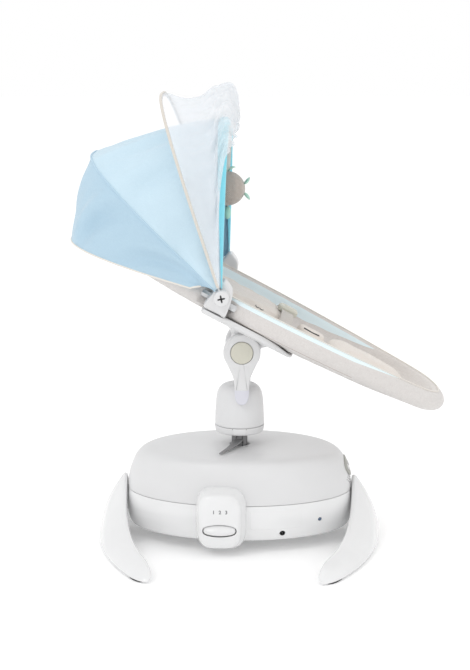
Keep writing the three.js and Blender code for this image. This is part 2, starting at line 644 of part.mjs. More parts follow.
const shelfTop = BRACKET_HEIGHT - 35;
function bracketOutline() {
  const shape = new THREE.Shape();
  shape.moveTo(-19, -35);
  shape.lineTo(19, -35);
  shape.quadraticCurveTo(23, -35, 23, -30);
  shape.lineTo(17, 10);
  shape.quadraticCurveTo(13, 27, 0, 27);
  shape.quadraticCurveTo(-13, 27, -17, 8);
  shape.lineTo(-23, -29);
  shape.quadraticCurveTo(-23, -35, -19, -35);
  return shape;
}

const toBracket = (geometry) => geometry.translate(BRACKET_ALONG, 0, BRACKET_HEIGHT);
const mirrorY = (geometry, side) => (side < 0 ? flipped(geometry.scale(1, -1, 1)) : geometry);

function bracket(side) {
  const block = toBracket(slab(bracketOutline(), BRACKET_INNER, BRACKET_OUTER, 2.5)).translate(0, 0, GAP);
  const clearRim = loft([rimRing(-2, 40), rimRing(-2, 140)]);
  const tubeWay = alongX(rod(TUBE_R + 3, BRACKET_ALONG - 40, BRACKET_ALONG + 40, 20))
    .translate(0, SEAT_HALF + TUBE_OUT - 0.5, TUBE_HEIGHT);
  const pinWay = toBracket(alongY(rod(PIN_R + PLAY, -BRACKET_OUTER - 5, 20 - BRACKET_OUTER, 16)));
  const cutBlock = cut(block, clearRim, tubeWay, flipped(pinWay.scale(1, -1, 1)));
  return mirrorY(cutBlock, side);
}

function bossCap(side) {
  const pinEnd = BRACKET_OUTER - 16;
  const inner = NET_BOW.half + 2.2;
  const cap = turned([[0, pinEnd], [PIN_R, pinEnd], [PIN_R, inner], [BOSS_R, inner], [BOSS_R, BOSS_FACE - 4],
    [BOSS_R - 3, BOSS_FACE - 0.8], [6, BOSS_FACE], [5, BOSS_FACE - 1.6], [0, BOSS_FACE - 1.6]]);
  return toBracket(mirrorY(alongY(cap), side));
}

// The carrier under the seat: a shallow saddle, a neck and a hub between the arms
const SADDLE = { back: -108, front: 90, turnUp: SEAT_HALF - 25, side: SEAT_HALF + 13 };
// Half of the saddle's section: sideways, above its floor
const SADDLE_CURVE = [[0, 0], [SADDLE.turnUp - 35, 0.5], [SADDLE.turnUp, 3], [SEAT_HALF, 10], [SADDLE.side - 3, 18],
  [SADDLE.side, shelfTop - SADDLE_FLOOR]];

function seatCarrier() {
  const side = SADDLE_CURVE.map(([y, up]) => [y, SADDLE_FLOOR + up]);
  const across = [...side.slice(1).reverse().map(([y, z]) => [-y, z]), ...side];
  const stations = [[SADDLE.back, 0.9], [SADDLE.back + 20, 1], [-40, 1], [30, 1], [SADDLE.front - 20, 1],
    [SADDLE.front, 0.93]];
  const sheet = (grow) => stations.map(([x, wide]) => across.map(([y, z]) => {
    const steep = Math.min(1, Math.max(0, (Math.abs(y) - SADDLE.turnUp) / 30));
    return new THREE.Vector3(x, (y + Math.sign(y) * grow * steep) * wide, z - grow * (1 - steep));
  }));
  const tray = wall(sheet(SADDLE_THICK), sheet(0), false);
  const shelves = [-1, 1].map((way) => boxBetween(
    [BRACKET_ALONG - 21, way < 0 ? -BRACKET_OUTER - 6 : SADDLE.side - 5, shelfTop - 6],
    [BRACKET_ALONG + 21, way < 0 ? 5 - SADDLE.side : BRACKET_OUTER + 6, shelfTop]));
  const hub = alongY(rod(31, -ARM_INNER + 1, ARM_INNER - 1, 36));
  const neck = boxBetween([-31, -ARM_INNER + 1, 0], [29, ARM_INNER - 1, SADDLE_FLOOR]);
  const bore = alongY(rod(AXLE_R + PLAY / 2, -60, 60));
  return cut(join(tray, ...shelves, neck, hub), bore);
}

// ---- Soft pieces in the seat ----
function pad(x, halfX, y, halfY, rows, power = 3) {
  return loft(rows.map(([z, inset]) => oval(halfX - inset, halfY - inset, z, 24, power)
    .map((p) => new THREE.Vector3(p.x + x, p.y + y, p.z))));
}

const padFloor = SLING_BOTTOM + SLING_THICK + 1.5;
const CROTCH = { from: 76, to: 136, half: 34 };
const BODY_PAD = { from: SEAT_HEAD + 81, to: CROTCH.from - 12, half: SEAT_HALF - 50, height: 40 };
const LEG_PAD = { from: CROTCH.to + 6, to: SEAT_FOOT - 67, half: SEAT_HALF - 84 };

const padBetween = ({ from, to, half }, rows) => pad((from + to) / 2, (to - from) / 2, 0, half, rows);
const bodyCushion = () => padBetween(BODY_PAD, [[padFloor, 34], [padFloor + 8, 14], [padFloor + 22, 2],
  [padFloor + 34, 4], [padFloor + BODY_PAD.height, 18]]);
const legCushion = () => padBetween(LEG_PAD,
  [[padFloor, 26], [padFloor + 8, 10], [padFloor + 18, 2], [padFloor + 26, 12]]);
const crotchPad = () => padBetween(CROTCH,
  [[padFloor, 8], [padFloor + 10, 0], [padFloor + 26, 3], [padFloor + 32, 12]]);

const buckleZ = padFloor + BODY_PAD.height + 2;
const buckleShell = () => {
  const block = pad(44, 20, 0, 17, [[buckleZ, 2], [buckleZ + 2, 0], [buckleZ + 9, 0], [buckleZ + 12, 3]], 4);
  return cut(block, pad(44, 9 + PLAY, 0, 9 + PLAY, [[buckleZ + 6, 0], [buckleZ + 20, 0]], 4));
};
const buckleButton = () => pad(44, 9, 0, 9, [[buckleZ + 8.5, 0], [buckleZ + 12, 0], [buckleZ + 13, 1]], 4);
const beltEnd = BODY_PAD.half - 2;
const waistBelt = (side) =>
  boxBetween([32, side < 0 ? -beltEnd : 18, buckleZ + 1], [56, side < 0 ? -18 : beltEnd, buckleZ + 3]);

// ---- Canopy ----
const degrees = THREE.MathUtils.degToRad;

// A point of an arch: turn 0 to pi from the far side to the near side
function archPoint(angle, rise, half, turn) {
  const c = Math.cos(turn);
  const h = rise * Math.sin(turn) ** (2 / ARCH_POWER);
  return new THREE.Vector3(
    BRACKET_ALONG + h * Math.cos(degrees(angle)),
    half * Math.sign(c) * Math.abs(c) ** (2 / ARCH_POWER),
    BRACKET_HEIGHT + h * Math.sin(degrees(angle)),
  );
}

// Turns spread so that an arch starts this high above its pivot
function archTurns(rise, start, count) {
  const first = Math.asin((start / rise) ** (ARCH_POWER / 2));
  return Array.from({ length: count + 1 }, (_, i) => first + ((Math.PI - 2 * first) * i) / count);
}

function bow({ angle, rise, half }) {
  const points = archTurns(rise, 5, 20).map((turn) => archPoint(angle, rise, half, turn));
  const arch = tubeAlong(new THREE.CatmullRomCurve3(points, false, 'centripetal'), ROD_R, 26, 5);
  const hubs = [-1, 1].map((side) => {
    const ring = ringPiece(PIN_R + PLAY, HUB_R, -HUB_THICK / 2, HUB_THICK / 2, 16);
    return toBracket(alongY(ring).translate(0, side * half, 0));
  });
  const way = toBracket(alongY(rod(PIN_R + PLAY, -230, 230, 16)));
  return cut(join(arch, ...hubs), way);
}

const reach = ROD_R + 4;
const clothHalf = REAR_BOW.half + ROD_R + 1.2;

// Cloth over the bows: rows of angle, rise and the height at which the row starts
function clothPiece(rows, half) {
  const columns = 16;
  const sheet = (grow) => rows.map(([angle, rise, start]) =>
    archTurns(rise, start, columns).map((turn) => archPoint(angle, rise + grow, half + grow, turn)));
  return wall(sheet(CLOTH), sheet(0), false);
}

const canopyRear = () => clothPiece([[HEM_ANGLE, HEM_RISE, 60], [181, 322, 44], [172, 337, 30],
  [REAR_BOW.angle + 0.4, REAR_BOW.rise + reach, 18]], clothHalf);
const canopyFront = () => clothPiece([[REAR_BOW.angle - 0.6, REAR_BOW.rise + reach, 18], [151, 322, 18],
  [138, 309, 18], [127, 305, 18], [FRONT_BOW.angle, FRONT_BOW.rise + reach, 18]], clothHalf);
const mosquitoNet = () => clothPiece([[NET_BOW.angle, NET_BOW.rise + reach, 24], [127.5, 348, 24], [120.5, 369, 24],
  [116, 371, 40], [114, 336, 90], [114.5, 312, 150]], NET_BOW.half + ROD_R + 2);

// ---- Toy, hung from the top of the front bow ----
const bowTop = () => {
  const tip = archPoint(FRONT_BOW.angle, FRONT_BOW.rise, FRONT_BOW.half, Math.PI / 2);
  tip.applyEuler(seat.rotation).add(seat.position);
  return tip;
};
const TOY = { strap: 88, r: 34, gap: 5 };

function toyPieces() {
  const top = bowTop();
  const strapTop = top.z - ROD_R - 2;
  const middle = strapTop - TOY.strap - TOY.r;
  const beadTop = middle - TOY.r - 8;
  const hang = (geometry) => geometry.translate(top.x + TOY.gap, 0, 0);
  const strap = boxBetween([-6, -1, middle + TOY.r + GAP], [6, 1, strapTop]);
  const ball = new THREE.SphereGeometry(TOY.r, 16, 10).rotateX(Math.PI / 2).translate(0, 0, middle);
  const fin = new THREE.SphereGeometry(1, 8, 6).scale(11, 3, 8).translate(TOY.r + 2, 0, middle + 2);
  const bead = turned([[0, beadTop - 17], [5, beadTop - 14], [6.5, beadTop - 8], [5, beadTop - 2],
    [0.8, beadTop], [0.8, middle - TOY.r - GAP], [0, middle - TOY.r - GAP]], 12);
  place('toy_strap', hang(strap), BELT_CLOTH);
  place('toy_plush', hang(join(ball, fin)), TOY_CLOTH);
  place('toy_bead', hang(bead), MINT);
}

// ---- The swing ----
place('base_top_cover', baseTopCover(), WHITE_SATIN);
place('base_lower_shell', baseLowerShell(), WHITE_GLOSS);
for (const [end, side] of [['head', -1], ['foot', 1]]) {
  place(`leg_${end}_end`, leg(side), WHITE_GLOSS);
  place(`leg_pad_${end}_near`, legPad(side, -1), RUBBER);
  place(`leg_pad_${end}_far`, legPad(side, 1), RUBBER);
}
place('selector_pod', selectorPod(), WHITE_GLOSS);
place('selector_paddle', selectorPaddle(), WHITE_GLOSS);
place('battery_door', batteryDoor(), WHITE_GLOSS);
place('dc_jack', dcJack(), BLACK_PLASTIC);
place('status_light', statusLight(), LENS);
place('control_panel', controlPanel(), PANEL_GREY);
PANEL_KEYS.forEach((y, i) => place(`panel_key_${i + 1}`, panelKey(y), WHITE_SATIN));
place('drive_motor', driveMotor(), STEEL);
place('drive_pinion', pinion(), BRASS);
place('sector_gear', sectorGear(), BRASS);
place('control_board', controlBoard(), BOARD_GREEN);
place('speaker', speaker(), BLACK_PLASTIC);
place('lower_bearing', lowerBearing(), STEEL);
place('upper_bearing', upperBearing(), STEEL);

place('swing_shaft', swingShaft(), STEEL);
place('neck_sleeve', neckSleeve(), GREY_PLASTIC);
place('release_lever', releaseLever(), GREY_PLASTIC);
place('collar', collar(), WHITE_SATIN);
place('collar_latch', collarLatch(), WHITE_SATIN);
place('column_housing', columnHousing(), WHITE_SATIN);
place('recline_axle', reclineAxle(), STEEL);
for (const [name, side] of [['near', -1], ['far', 1]]) {
  place(`arm_${name}`, arm(side), WHITE_SATIN);
  place(`arm_tip_${name}`, armTip(side), TIP_GREY);
  place(`recline_button_${name}`, discButton(side), BEIGE_PLASTIC);
  place(`canopy_bracket_${name}`, bracket(side), WHITE_SATIN, seat);
  place(`canopy_boss_${name}`, bossCap(side), WHITE_SATIN, seat);
  place(`waist_belt_${name}`, waistBelt(side), BELT_CLOTH, seat);
}

place('seat_carrier', seatCarrier(), WHITE_SATIN, seat);
place('seat_tube_head', seatTube(true), STEEL, seat);
place('seat_tube_foot', seatTube(false), STEEL, seat);
place('seat_sling', seatSling(), SEAT_CLOTH, seat);
place('body_cushion', bodyCushion(), CUSHION_CLOTH, seat);
place('leg_cushion', legCushion(), CUSHION_CLOTH, seat);
place('crotch_pad', crotchPad(), CUSHION_CLOTH, seat);
place('buckle', buckleShell(), WHITE_SATIN, seat);
place('buckle_button', buckleButton(), BEIGE_PLASTIC, seat);

place('rear_bow', bow(REAR_BOW), WHITE_SATIN, seat);
place('front_bow', bow(FRONT_BOW), WHITE_SATIN, seat);
place('net_bow', bow(NET_BOW), WHITE_SATIN, seat);
place('canopy_rear_panel', canopyRear(), BLUE_CLOTH, seat);
place('canopy_front_panel', canopyFront(), BLUE_CLOTH, seat);
place('mosquito_net', mosquitoNet(), NET_CLOTH, seat);
toyPieces();

export default group;
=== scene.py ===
# %% [markdown]
# # A powered baby swing
# An oval base stands on two crescent legs. A short column on it sways, turns and carries two arms, and a fabric
# sling seat reclines between them under a folding canopy. The frame below already holds every piece at its real
# size, so this script only has to make each one look right where it stands.

# %% Load the frame
import json
import math

import bmesh
import bpy
import numpy as np
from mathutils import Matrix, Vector


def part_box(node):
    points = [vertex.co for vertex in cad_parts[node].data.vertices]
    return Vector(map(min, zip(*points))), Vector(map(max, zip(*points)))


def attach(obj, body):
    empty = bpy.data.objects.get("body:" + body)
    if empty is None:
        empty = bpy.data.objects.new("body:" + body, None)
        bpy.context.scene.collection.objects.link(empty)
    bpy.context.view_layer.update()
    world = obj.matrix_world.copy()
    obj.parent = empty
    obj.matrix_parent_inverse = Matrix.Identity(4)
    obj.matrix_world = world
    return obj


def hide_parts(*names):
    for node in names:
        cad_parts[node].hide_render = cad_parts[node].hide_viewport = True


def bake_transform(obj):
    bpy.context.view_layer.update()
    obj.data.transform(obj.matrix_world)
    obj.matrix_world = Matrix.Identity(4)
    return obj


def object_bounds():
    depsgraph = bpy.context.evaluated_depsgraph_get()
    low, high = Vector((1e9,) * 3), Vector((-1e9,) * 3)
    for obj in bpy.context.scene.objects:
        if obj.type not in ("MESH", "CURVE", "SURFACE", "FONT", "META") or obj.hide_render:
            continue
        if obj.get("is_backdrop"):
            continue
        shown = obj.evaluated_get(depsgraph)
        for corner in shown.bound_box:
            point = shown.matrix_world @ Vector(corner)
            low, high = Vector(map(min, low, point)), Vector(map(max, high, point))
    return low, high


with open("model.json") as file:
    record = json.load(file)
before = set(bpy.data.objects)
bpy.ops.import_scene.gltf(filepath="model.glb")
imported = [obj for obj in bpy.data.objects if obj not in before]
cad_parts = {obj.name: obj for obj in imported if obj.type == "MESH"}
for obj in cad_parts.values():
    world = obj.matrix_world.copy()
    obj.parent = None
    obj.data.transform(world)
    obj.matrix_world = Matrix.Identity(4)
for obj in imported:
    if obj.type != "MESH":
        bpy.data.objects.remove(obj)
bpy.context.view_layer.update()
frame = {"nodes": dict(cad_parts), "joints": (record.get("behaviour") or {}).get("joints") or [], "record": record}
joints = {joint["name"]: joint for joint in frame["joints"]}

# %% [markdown]
# ## Camera and light
# The camera stands a little over three metres away and a metre up, and looks down slightly. A long lens keeps
# the swing's proportions flat. Most of the light comes from a white room. Four large soft lamps add direction, the
# strongest from the upper left, so that white plastic still shows its shape.

# %% Camera
def put_in_scene(name, data):
    """An object of that name, made from a camera, a lamp or a mesh."""
    made = bpy.data.objects.new(name, data)
    bpy.context.scene.collection.objects.link(made)
    return made


column_x = sum(corner.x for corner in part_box("swing_shaft")) / 2
distance, heading = 3.2, math.radians(1.7)
camera_data = bpy.data.cameras.new("camera")
camera_data.lens = 89.8
camera_data.clip_end = 50
camera = put_in_scene("camera", camera_data)
camera.location = (column_x + distance * math.sin(heading), -distance * math.cos(heading), 1.0462)
camera.rotation_euler = (math.radians(90 - 11.38), 0, heading + math.radians(0.163))
bpy.context.scene.camera = camera
bpy.context.scene.view_settings.view_transform = "Standard"
print("camera at", [round(v, 3) for v in camera.location])


# %% Lights and room
def soft_panel(name, place, aim, size, watts):
    """A square lamp that faces a point."""
    data = bpy.data.lights.new(name, "AREA")
    data.shape, data.size, data.energy = "SQUARE", size, watts
    lamp = put_in_scene(name, data)
    lamp.location = place
    lamp.rotation_euler = (Vector(aim) - Vector(place)).to_track_quat("-Z", "Y").to_euler()


soft_panel("key_panel", (-1.5, -2.1, 2.5), (0, 0, 0.4), 1.1, 15)
soft_panel("side_panel", (2.3, -1.2, 1.7), (0, 0, 0.4), 1.6, 3)
soft_panel("top_panel", (0.1, 0.5, 3.0), (0, 0, 0.3), 2.2, 4)
soft_panel("back_panel", (0.4, 2.6, 1.9), (0, 0, 0.5), 1.8, 3)

room = bpy.data.worlds.new("white_room")
room.use_nodes = True
room.node_tree.nodes["Background"].inputs["Color"].default_value = (1, 1, 1, 1)
room.node_tree.nodes["Background"].inputs["Strength"].default_value = 1.0
bpy.context.scene.world = room


# %% [markdown]
# ## Writing finishes as arithmetic
# A finish is a small network of shader nodes. Building it by hand hides the idea, so the two classes below let a
# formula be written as Python: a Wire stands for one output, its operators add Math nodes, and one method of
# Finish makes any other node from its type, settings and inputs.

# %% Wires and finishes
class Wire:
    """One output of a node, on which arithmetic can be written."""

    def __init__(self, finish, socket):
        self.finish, self.socket = finish, socket

    def _maths(self, operation, *values):
        return self.finish.node("ShaderNodeMath", {"operation": operation}, dict(enumerate(values)))

    def __add__(self, other):
        return self._maths("ADD", self, other)

    def __sub__(self, other):
        return self._maths("SUBTRACT", self, other)

    def __rsub__(self, other):
        return self._maths("SUBTRACT", other, self)

    def __mul__(self, other):
        return self._maths("MULTIPLY", self, other)

    __radd__ = __add__
    __rmul__ = __mul__

    def sine(self):
        return self._maths("SINE", self)

    def above(self, edge):
        return self._maths("GREATER_THAN", self, edge)

    def ramp(self, low, high):
        """0 below low, 1 above high, and a smooth rise between."""
        sockets = {"Value": self, "From Min": low, "From Max": high}
        return self.finish.node("ShaderNodeMapRange", {"interpolation_type": "SMOOTHSTEP"}, sockets)


class Finish:
    """A material in the making. Constants go straight on the shader's sockets."""

    def __init__(self, name, **constants):
        self.material = bpy.data.materials.new(name)
        self.material.use_nodes = True
        self.tree = self.material.node_tree
        self.shader = self.tree.nodes["Principled BSDF"]
        for socket, value in constants.items():
            self.shader.inputs[socket.replace("_", " ")].default_value = value

    def node(self, kind, settings, sockets, output=0):
        """Any node: its settings are set first, then its inputs, which are values or wires."""
        made = self.tree.nodes.new(kind)
        for name, value in settings.items():
            setattr(made, name, value)
        for name, value in sockets.items():
            self._plug(made.inputs[name], value)
        return Wire(self, made.outputs[output])

    def _plug(self, socket, value):
        if isinstance(value, Wire):
            self.tree.links.new(value.socket, socket)
        elif socket.type == "RGBA":
            socket.default_value = (*value[:3], 1)
        else:
            socket.default_value = value

    def feed(self, **wires):
        for socket, wire in wires.items():
            self._plug(self.shader.inputs[socket.replace("_", " ")], wire)

    def place(self):
        """Rest position on the object, in metres."""
        return self.node("ShaderNodeTexCoord", {}, {}, "Object")

    def along(self):
        """The threads' own coordinates, in metres, together and as three wires."""
        vector = self.node("ShaderNodeAttribute", {"attribute_name": "cloth"}, {}, "Vector")
        return vector, self.parts(vector)

    def parts(self, vector):
        split = self.node("ShaderNodeSeparateXYZ", {}, {0: vector})
        return [Wire(self, output) for output in split.socket.node.outputs]

    def noise(self, vector, scale, detail=2):
        return self.node("ShaderNodeTexNoise", {}, {"Vector": vector, "Scale": scale, "Detail": detail})

    def stretched(self, vector, scale):
        return self.node("ShaderNodeVectorMath", {"operation": "MULTIPLY"}, {0: vector, 1: scale})

    def blend(self, share, first, second):
        """Colour that goes from first to second as share goes from 0 to 1."""
        sockets = {0: share, 6: first, 7: second}
        return self.node("ShaderNodeMix", {"data_type": "RGBA"}, sockets, 2)

    def bump(self, height, depth):
        """depth is the real height of a full step, in metres."""
        sockets = {"Height": height, "Distance": depth, "Strength": 1.0}
        self.feed(Normal=self.node("ShaderNodeBump", {}, sockets))


finishes = {}

# %% [markdown]
# ## Moulded plastics
# The shells come from polished or lightly blasted moulds. Real plastic is never one flat tone: it has a slow
# mottling in its gloss, a very fine grain, and a hint of colour drift. One recipe with a few numbers covers them.

# %% Plastics and rubber
def moulded(name, colour, roughness, grain=0.00003, drift=0.03, coat=0.0):
    finish = Finish(name, Specular_IOR_Level=0.5, Coat_Weight=coat, Coat_Roughness=0.06)
    place = finish.place()
    slow = finish.noise(place, 9, 3)
    fine = finish.noise(place, 900, 2)
    darker = tuple(c * (1 - drift) for c in colour)
    finish.feed(Base_Color=finish.blend(slow.ramp(0.3, 0.7), darker, colour))
    finish.feed(Roughness=roughness + slow * 0.08 - 0.04 + fine * 0.04)
    finish.bump(fine, grain)
    finishes[name] = finish.material


moulded("white_satin", (0.7, 0.7, 0.705), 0.42, coat=0.1)
moulded("white_gloss", (0.78, 0.782, 0.786), 0.2, grain=0.000015, coat=0.35)
moulded("grey_plastic", (0.24, 0.24, 0.245), 0.38)
moulded("panel_grey", (0.36, 0.36, 0.335), 0.5, grain=0.00006)
moulded("beige_plastic", (0.62, 0.605, 0.52), 0.5, grain=0.00008, drift=0.06)
moulded("tip_grey", (0.66, 0.66, 0.72), 0.55, grain=0.00005)
# Black plastic is the real black of the power inlet and the stitched arcs, and also painted shade in the sound holes,
# the boss's cross recess and the gap under the crotch pad
moulded("black_plastic", (0.02, 0.02, 0.022), 0.35)
moulded("rubber", (0.06, 0.06, 0.062), 0.8, grain=0.00012, drift=0.2)
moulded("lens", (0.05, 0.09, 0.16), 0.08, grain=0.000004, coat=0.8)
moulded("mint", (0.38, 0.72, 0.6), 0.4, drift=0.08)
moulded("print_grey", (0.16, 0.16, 0.17), 0.5)
print("plastics", sorted(finishes))


# %% [markdown]
# ## Metals and the circuit board
# The shaft, tubes and bearings are turned steel, so their gloss is drawn out in fine rings. The gears are cut
# brass with the same marks, warmer and duller. The board is green laminate with paler copper tracks under its
# lacquer. Most of this is hidden inside, but the swing is an assembly and each piece keeps its own finish.

# %% Metals and board
def metal(name, colour, roughness):
    finish = Finish(name, Metallic=1.0)
    place = finish.place()
    rings = finish.noise(finish.stretched(place, (60, 60, 2600)), 1, 2)
    cloud = finish.noise(place, 30, 3)
    duller = tuple(c * 0.82 for c in colour)
    finish.feed(Base_Color=finish.blend(cloud.ramp(0.35, 0.7), colour, duller))
    finish.feed(Roughness=roughness + rings * 0.16 - 0.08)
    finish.bump(rings, 0.00003)
    finishes[name] = finish.material


metal("steel", (0.6, 0.61, 0.62), 0.3)
metal("brass", (0.66, 0.5, 0.22), 0.34)

board = Finish("board", Coat_Weight=0.4, Coat_Roughness=0.15)
place = board.place()
x, y, z = board.parts(place)
tracks = ((y * 1300).sine() + (x * 420).sine() * 0.8).above(1.1)
board.feed(Base_Color=board.blend(tracks, (0.02, 0.1, 0.05), (0.05, 0.22, 0.1)))
board.feed(Roughness=0.45 - tracks * 0.15)
board.bump(tracks, 0.00004)
finishes["board"] = board.material
print("metals and board ready")

# %% [markdown]
# ## Woven and knitted cloth
# Threads run along and across each piece, whatever way the piece is turned, so the cloth shaders read a pair of
# coordinates that every fabric mesh carries: metres along and metres across its own cut. A plain weave is then
# the product of two sines, thick and thin threads come from noise stretched along them, and a heathered yarn is
# the same noise given to the colour.

# %% Cloth
def woven(name, colour, other, pitch, depth, heather=0.5, sheen=0.3, roughness=0.85):
    """other is the second yarn's colour; pitch is the distance from one thread to the next."""
    finish = Finish(name, Sheen_Weight=sheen, Sheen_Roughness=0.4, Specular_IOR_Level=0.25)
    cloth, (u, v, _) = finish.along()
    turns = 2 * math.pi / pitch
    contrast = 0.14
    weave = (u * turns).sine() * (v * turns).sine()
    warp = finish.noise(finish.stretched(cloth, (90, 1500, 1)), 1, 2)
    weft = finish.noise(finish.stretched(cloth, (1500, 90, 1)), 1, 2)
    cloud = finish.noise(cloth, 14, 3)
    yarn = (warp * 0.5 + weft * 0.5).ramp(0.5 - contrast, 0.5 + contrast)
    share = yarn * heather + weave * 0.12 + cloud * 0.25
    finish.feed(Base_Color=finish.blend(share, colour, other))
    finish.feed(Roughness=roughness + warp * 0.1 - 0.05)
    finish.bump(weave * 0.5 + warp * 0.3 + weft * 0.3, depth)
    finishes[name] = finish.material


woven("canopy_rear", (0.48, 0.64, 0.75), (0.4, 0.56, 0.68), 0.0009, 0.00012)
woven("canopy_front", (0.6, 0.75, 0.84), (0.52, 0.68, 0.78), 0.0009, 0.00012)
woven("cyan_trim", (0.27, 0.75, 0.88), (0.2, 0.66, 0.8), 0.0008, 0.0001, sheen=0.5, roughness=0.6)
woven("inner_slate", (0.34, 0.54, 0.67), (0.27, 0.46, 0.59), 0.0009, 0.0001)
woven("piping", (0.8, 0.77, 0.72), (0.7, 0.66, 0.6), 0.0012, 0.00015)
woven("seat_outer", (0.74, 0.715, 0.695), (0.64, 0.61, 0.59), 0.0014, 0.0002, heather=0.8)
woven("seat_inner", (0.79, 0.75, 0.72), (0.66, 0.62, 0.59), 0.0014, 0.0002, heather=0.9)
woven("seat_stripe", (0.84, 0.94, 0.97), (0.76, 0.89, 0.93), 0.0011, 0.00015)
woven("cushion", (0.8, 0.74, 0.68), (0.72, 0.65, 0.59), 0.0016, 0.00025, heather=0.6, sheen=0.6)
woven("belt", (0.62, 0.58, 0.54), (0.5, 0.46, 0.42), 0.0022, 0.0004, heather=0.6)
# The thread's darker tone is in part painted shade: it also stands for the shadow under the sleeve's hem
woven("thread", (0.55, 0.5, 0.46), (0.45, 0.4, 0.37), 0.001, 0.0001)
print("cloths", len(finishes), "finishes so far")

# %% [markdown]
# ## Shapes from rings
# Most of this swing is a smooth shell, so most pieces are built the same way: a list of closed rings of points,
# joined by quads. Ten or so profile points are not enough for a smooth surface, so a curve is drawn
# through them first. The helpers here draw that curve, join rings, sweep a rod along a path and round the edges
# of a plate.

# %% Curves, rings and rods
MM = 0.001


def whole_turn(count):
    return np.linspace(0, 2 * math.pi, count, endpoint=False)


def run_along(path):
    """The length of a path up to each of its points."""
    return np.concatenate([[0], np.cumsum(np.linalg.norm(np.diff(path, axis=0), axis=1))])


def through(points, count, closed=False):
    """count points on a smooth curve through the given ones, evenly spread over its length."""
    keys = np.array(points, float)
    n = len(keys)
    last = keys[0] if closed else 2 * keys[-1] - keys[-2]
    first = keys[-1] if closed else 2 * keys[0] - keys[1]
    around = np.vstack([first, keys, last, keys[1 % n]]) if closed else np.vstack([first, keys, last])
    fine = []
    for i in range(n if closed else n - 1):
        p0, p1, p2, p3 = around[i:i + 4]
        for t in np.linspace(0, 1, 24, endpoint=False):
            fine.append(0.5 * (2 * p1 + (p2 - p0) * t + (2 * p0 - 5 * p1 + 4 * p2 - p3) * t * t
                               + (3 * p1 - p0 - 3 * p2 + p3) * t ** 3))
    fine.append(keys[0] if closed else keys[-1])
    fine = np.array(fine)
    run = run_along(fine)
    at = np.linspace(0, run[-1], count + 1)[:-1] if closed else np.linspace(0, run[-1], count)
    return np.array([[np.interp(a, run, fine[:, k]) for k in range(fine.shape[1])] for a in at])


def mesh_piece(name, points, faces, finish, body=None, replaces=(), slot=None, cloth=None, sharp=50):
    """A named mesh with one finish, riding on a body. cloth is a pair of thread coordinates for each point."""
    mesh = bpy.data.meshes.new(name)
    mesh.from_pydata([tuple(p) for p in points], [], [tuple(int(i) for i in f) for f in faces])
    mesh.validate()
    edit = bmesh.new()
    edit.from_mesh(mesh)
    bmesh.ops.recalc_face_normals(edit, faces=edit.faces)
    edit.to_mesh(mesh)
    edit.free()
    for polygon in mesh.polygons:
        polygon.use_smooth = True
    mesh.set_sharp_from_angle(angle=math.radians(sharp))
    mesh.materials.append(finishes[finish])
    piece = put_in_scene(name, mesh)
    if cloth is not None:
        lay_threads(piece, cloth)
    if body:
        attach(piece, body)
    if replaces:
        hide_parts(*replaces)
    return piece


def lay_threads(piece, cloth):
    """Gives each point its place along and across the cloth, in metres."""
    threads = piece.data.attributes.new("cloth", "FLOAT_VECTOR", "POINT")
    flat = np.zeros((len(piece.data.vertices), 3))
    flat[:, :2] = np.array(cloth, float).reshape(-1, 2)
    threads.data.foreach_set("vector", flat.ravel())


def with_ends(threads):
    """Thread coordinates of a shell's rings, and after them those of the middles of its two caps."""
    return np.vstack([*threads, threads[0].mean(0), threads[-1].mean(0)])


def ring_faces(rows, columns, round_columns=True, round_rows=False):
    """Quads between rows of points; either direction may close on itself."""
    faces = []
    for i in range(rows if round_rows else rows - 1):
        for j in range(columns if round_columns else columns - 1):
            k, below = (j + 1) % columns, (i + 1) % rows
            faces.append((i * columns + j, i * columns + k, below * columns + k, below * columns + j))
    return faces


def lofted(name, rings, finish, capped=True, **facts):
    """A shell through closed rings of equal length: capped ends, or the last ring joined to the first."""
    rings = np.array(rings, float)
    rows, columns = rings.shape[:2]
    faces = ring_faces(rows, columns, True, not capped)
    points = list(rings.reshape(-1, 3))
    if capped:
        for ring, start in ((rings[0], 0), (rings[-1], (rows - 1) * columns)):
            points.append(ring.mean(axis=0))
            middle = len(points) - 1
            faces += [(middle, start + j, start + (j + 1) % columns) for j in range(columns)]
    return mesh_piece(name, points, faces, finish, **facts)


def oval(half_x, half_y, z, count=128, power=2.0, centre=(0, 0)):
    """A level ring; power 2 is an ellipse and more is squarer."""
    turn = np.arange(count) * 2 * math.pi / count
    c, s = np.cos(turn), np.sin(turn)
    x = centre[0] + half_x * np.sign(c) * np.abs(c) ** (2 / power)
    y = centre[1] + half_y * np.sign(s) * np.abs(s) ** (2 / power)
    return np.column_stack([x, y, np.full(count, z)])


def rod_rings(path, radius, sides=12, closed=False):
    """Rings across a path, turned as little as possible from one to the next."""
    path = np.array(path, float)
    steps = (np.roll(path, -1, 0) - np.roll(path, 1, 0)) if closed else np.gradient(path, axis=0)
    steps /= np.linalg.norm(steps, axis=1)[:, None]
    side = np.cross(steps[0], (0, 0, 1) if abs(steps[0][2]) < 0.9 else (1, 0, 0))
    radii = np.broadcast_to(radius, len(path))
    rings = []
    for point, step, r in zip(path, steps, radii):
        side = side - step * side.dot(step)
        side /= np.linalg.norm(side)
        other = np.cross(step, side)
        turns = np.arange(sides) * 2 * math.pi / sides
        rings.append([point + r * (math.cos(t) * side + math.sin(t) * other) for t in turns])
    return rings


def rod(name, path, radius, finish, sides=12, closed=False, **facts):
    return lofted(name, rod_rings(path, radius, sides, closed), finish, not closed, **facts)


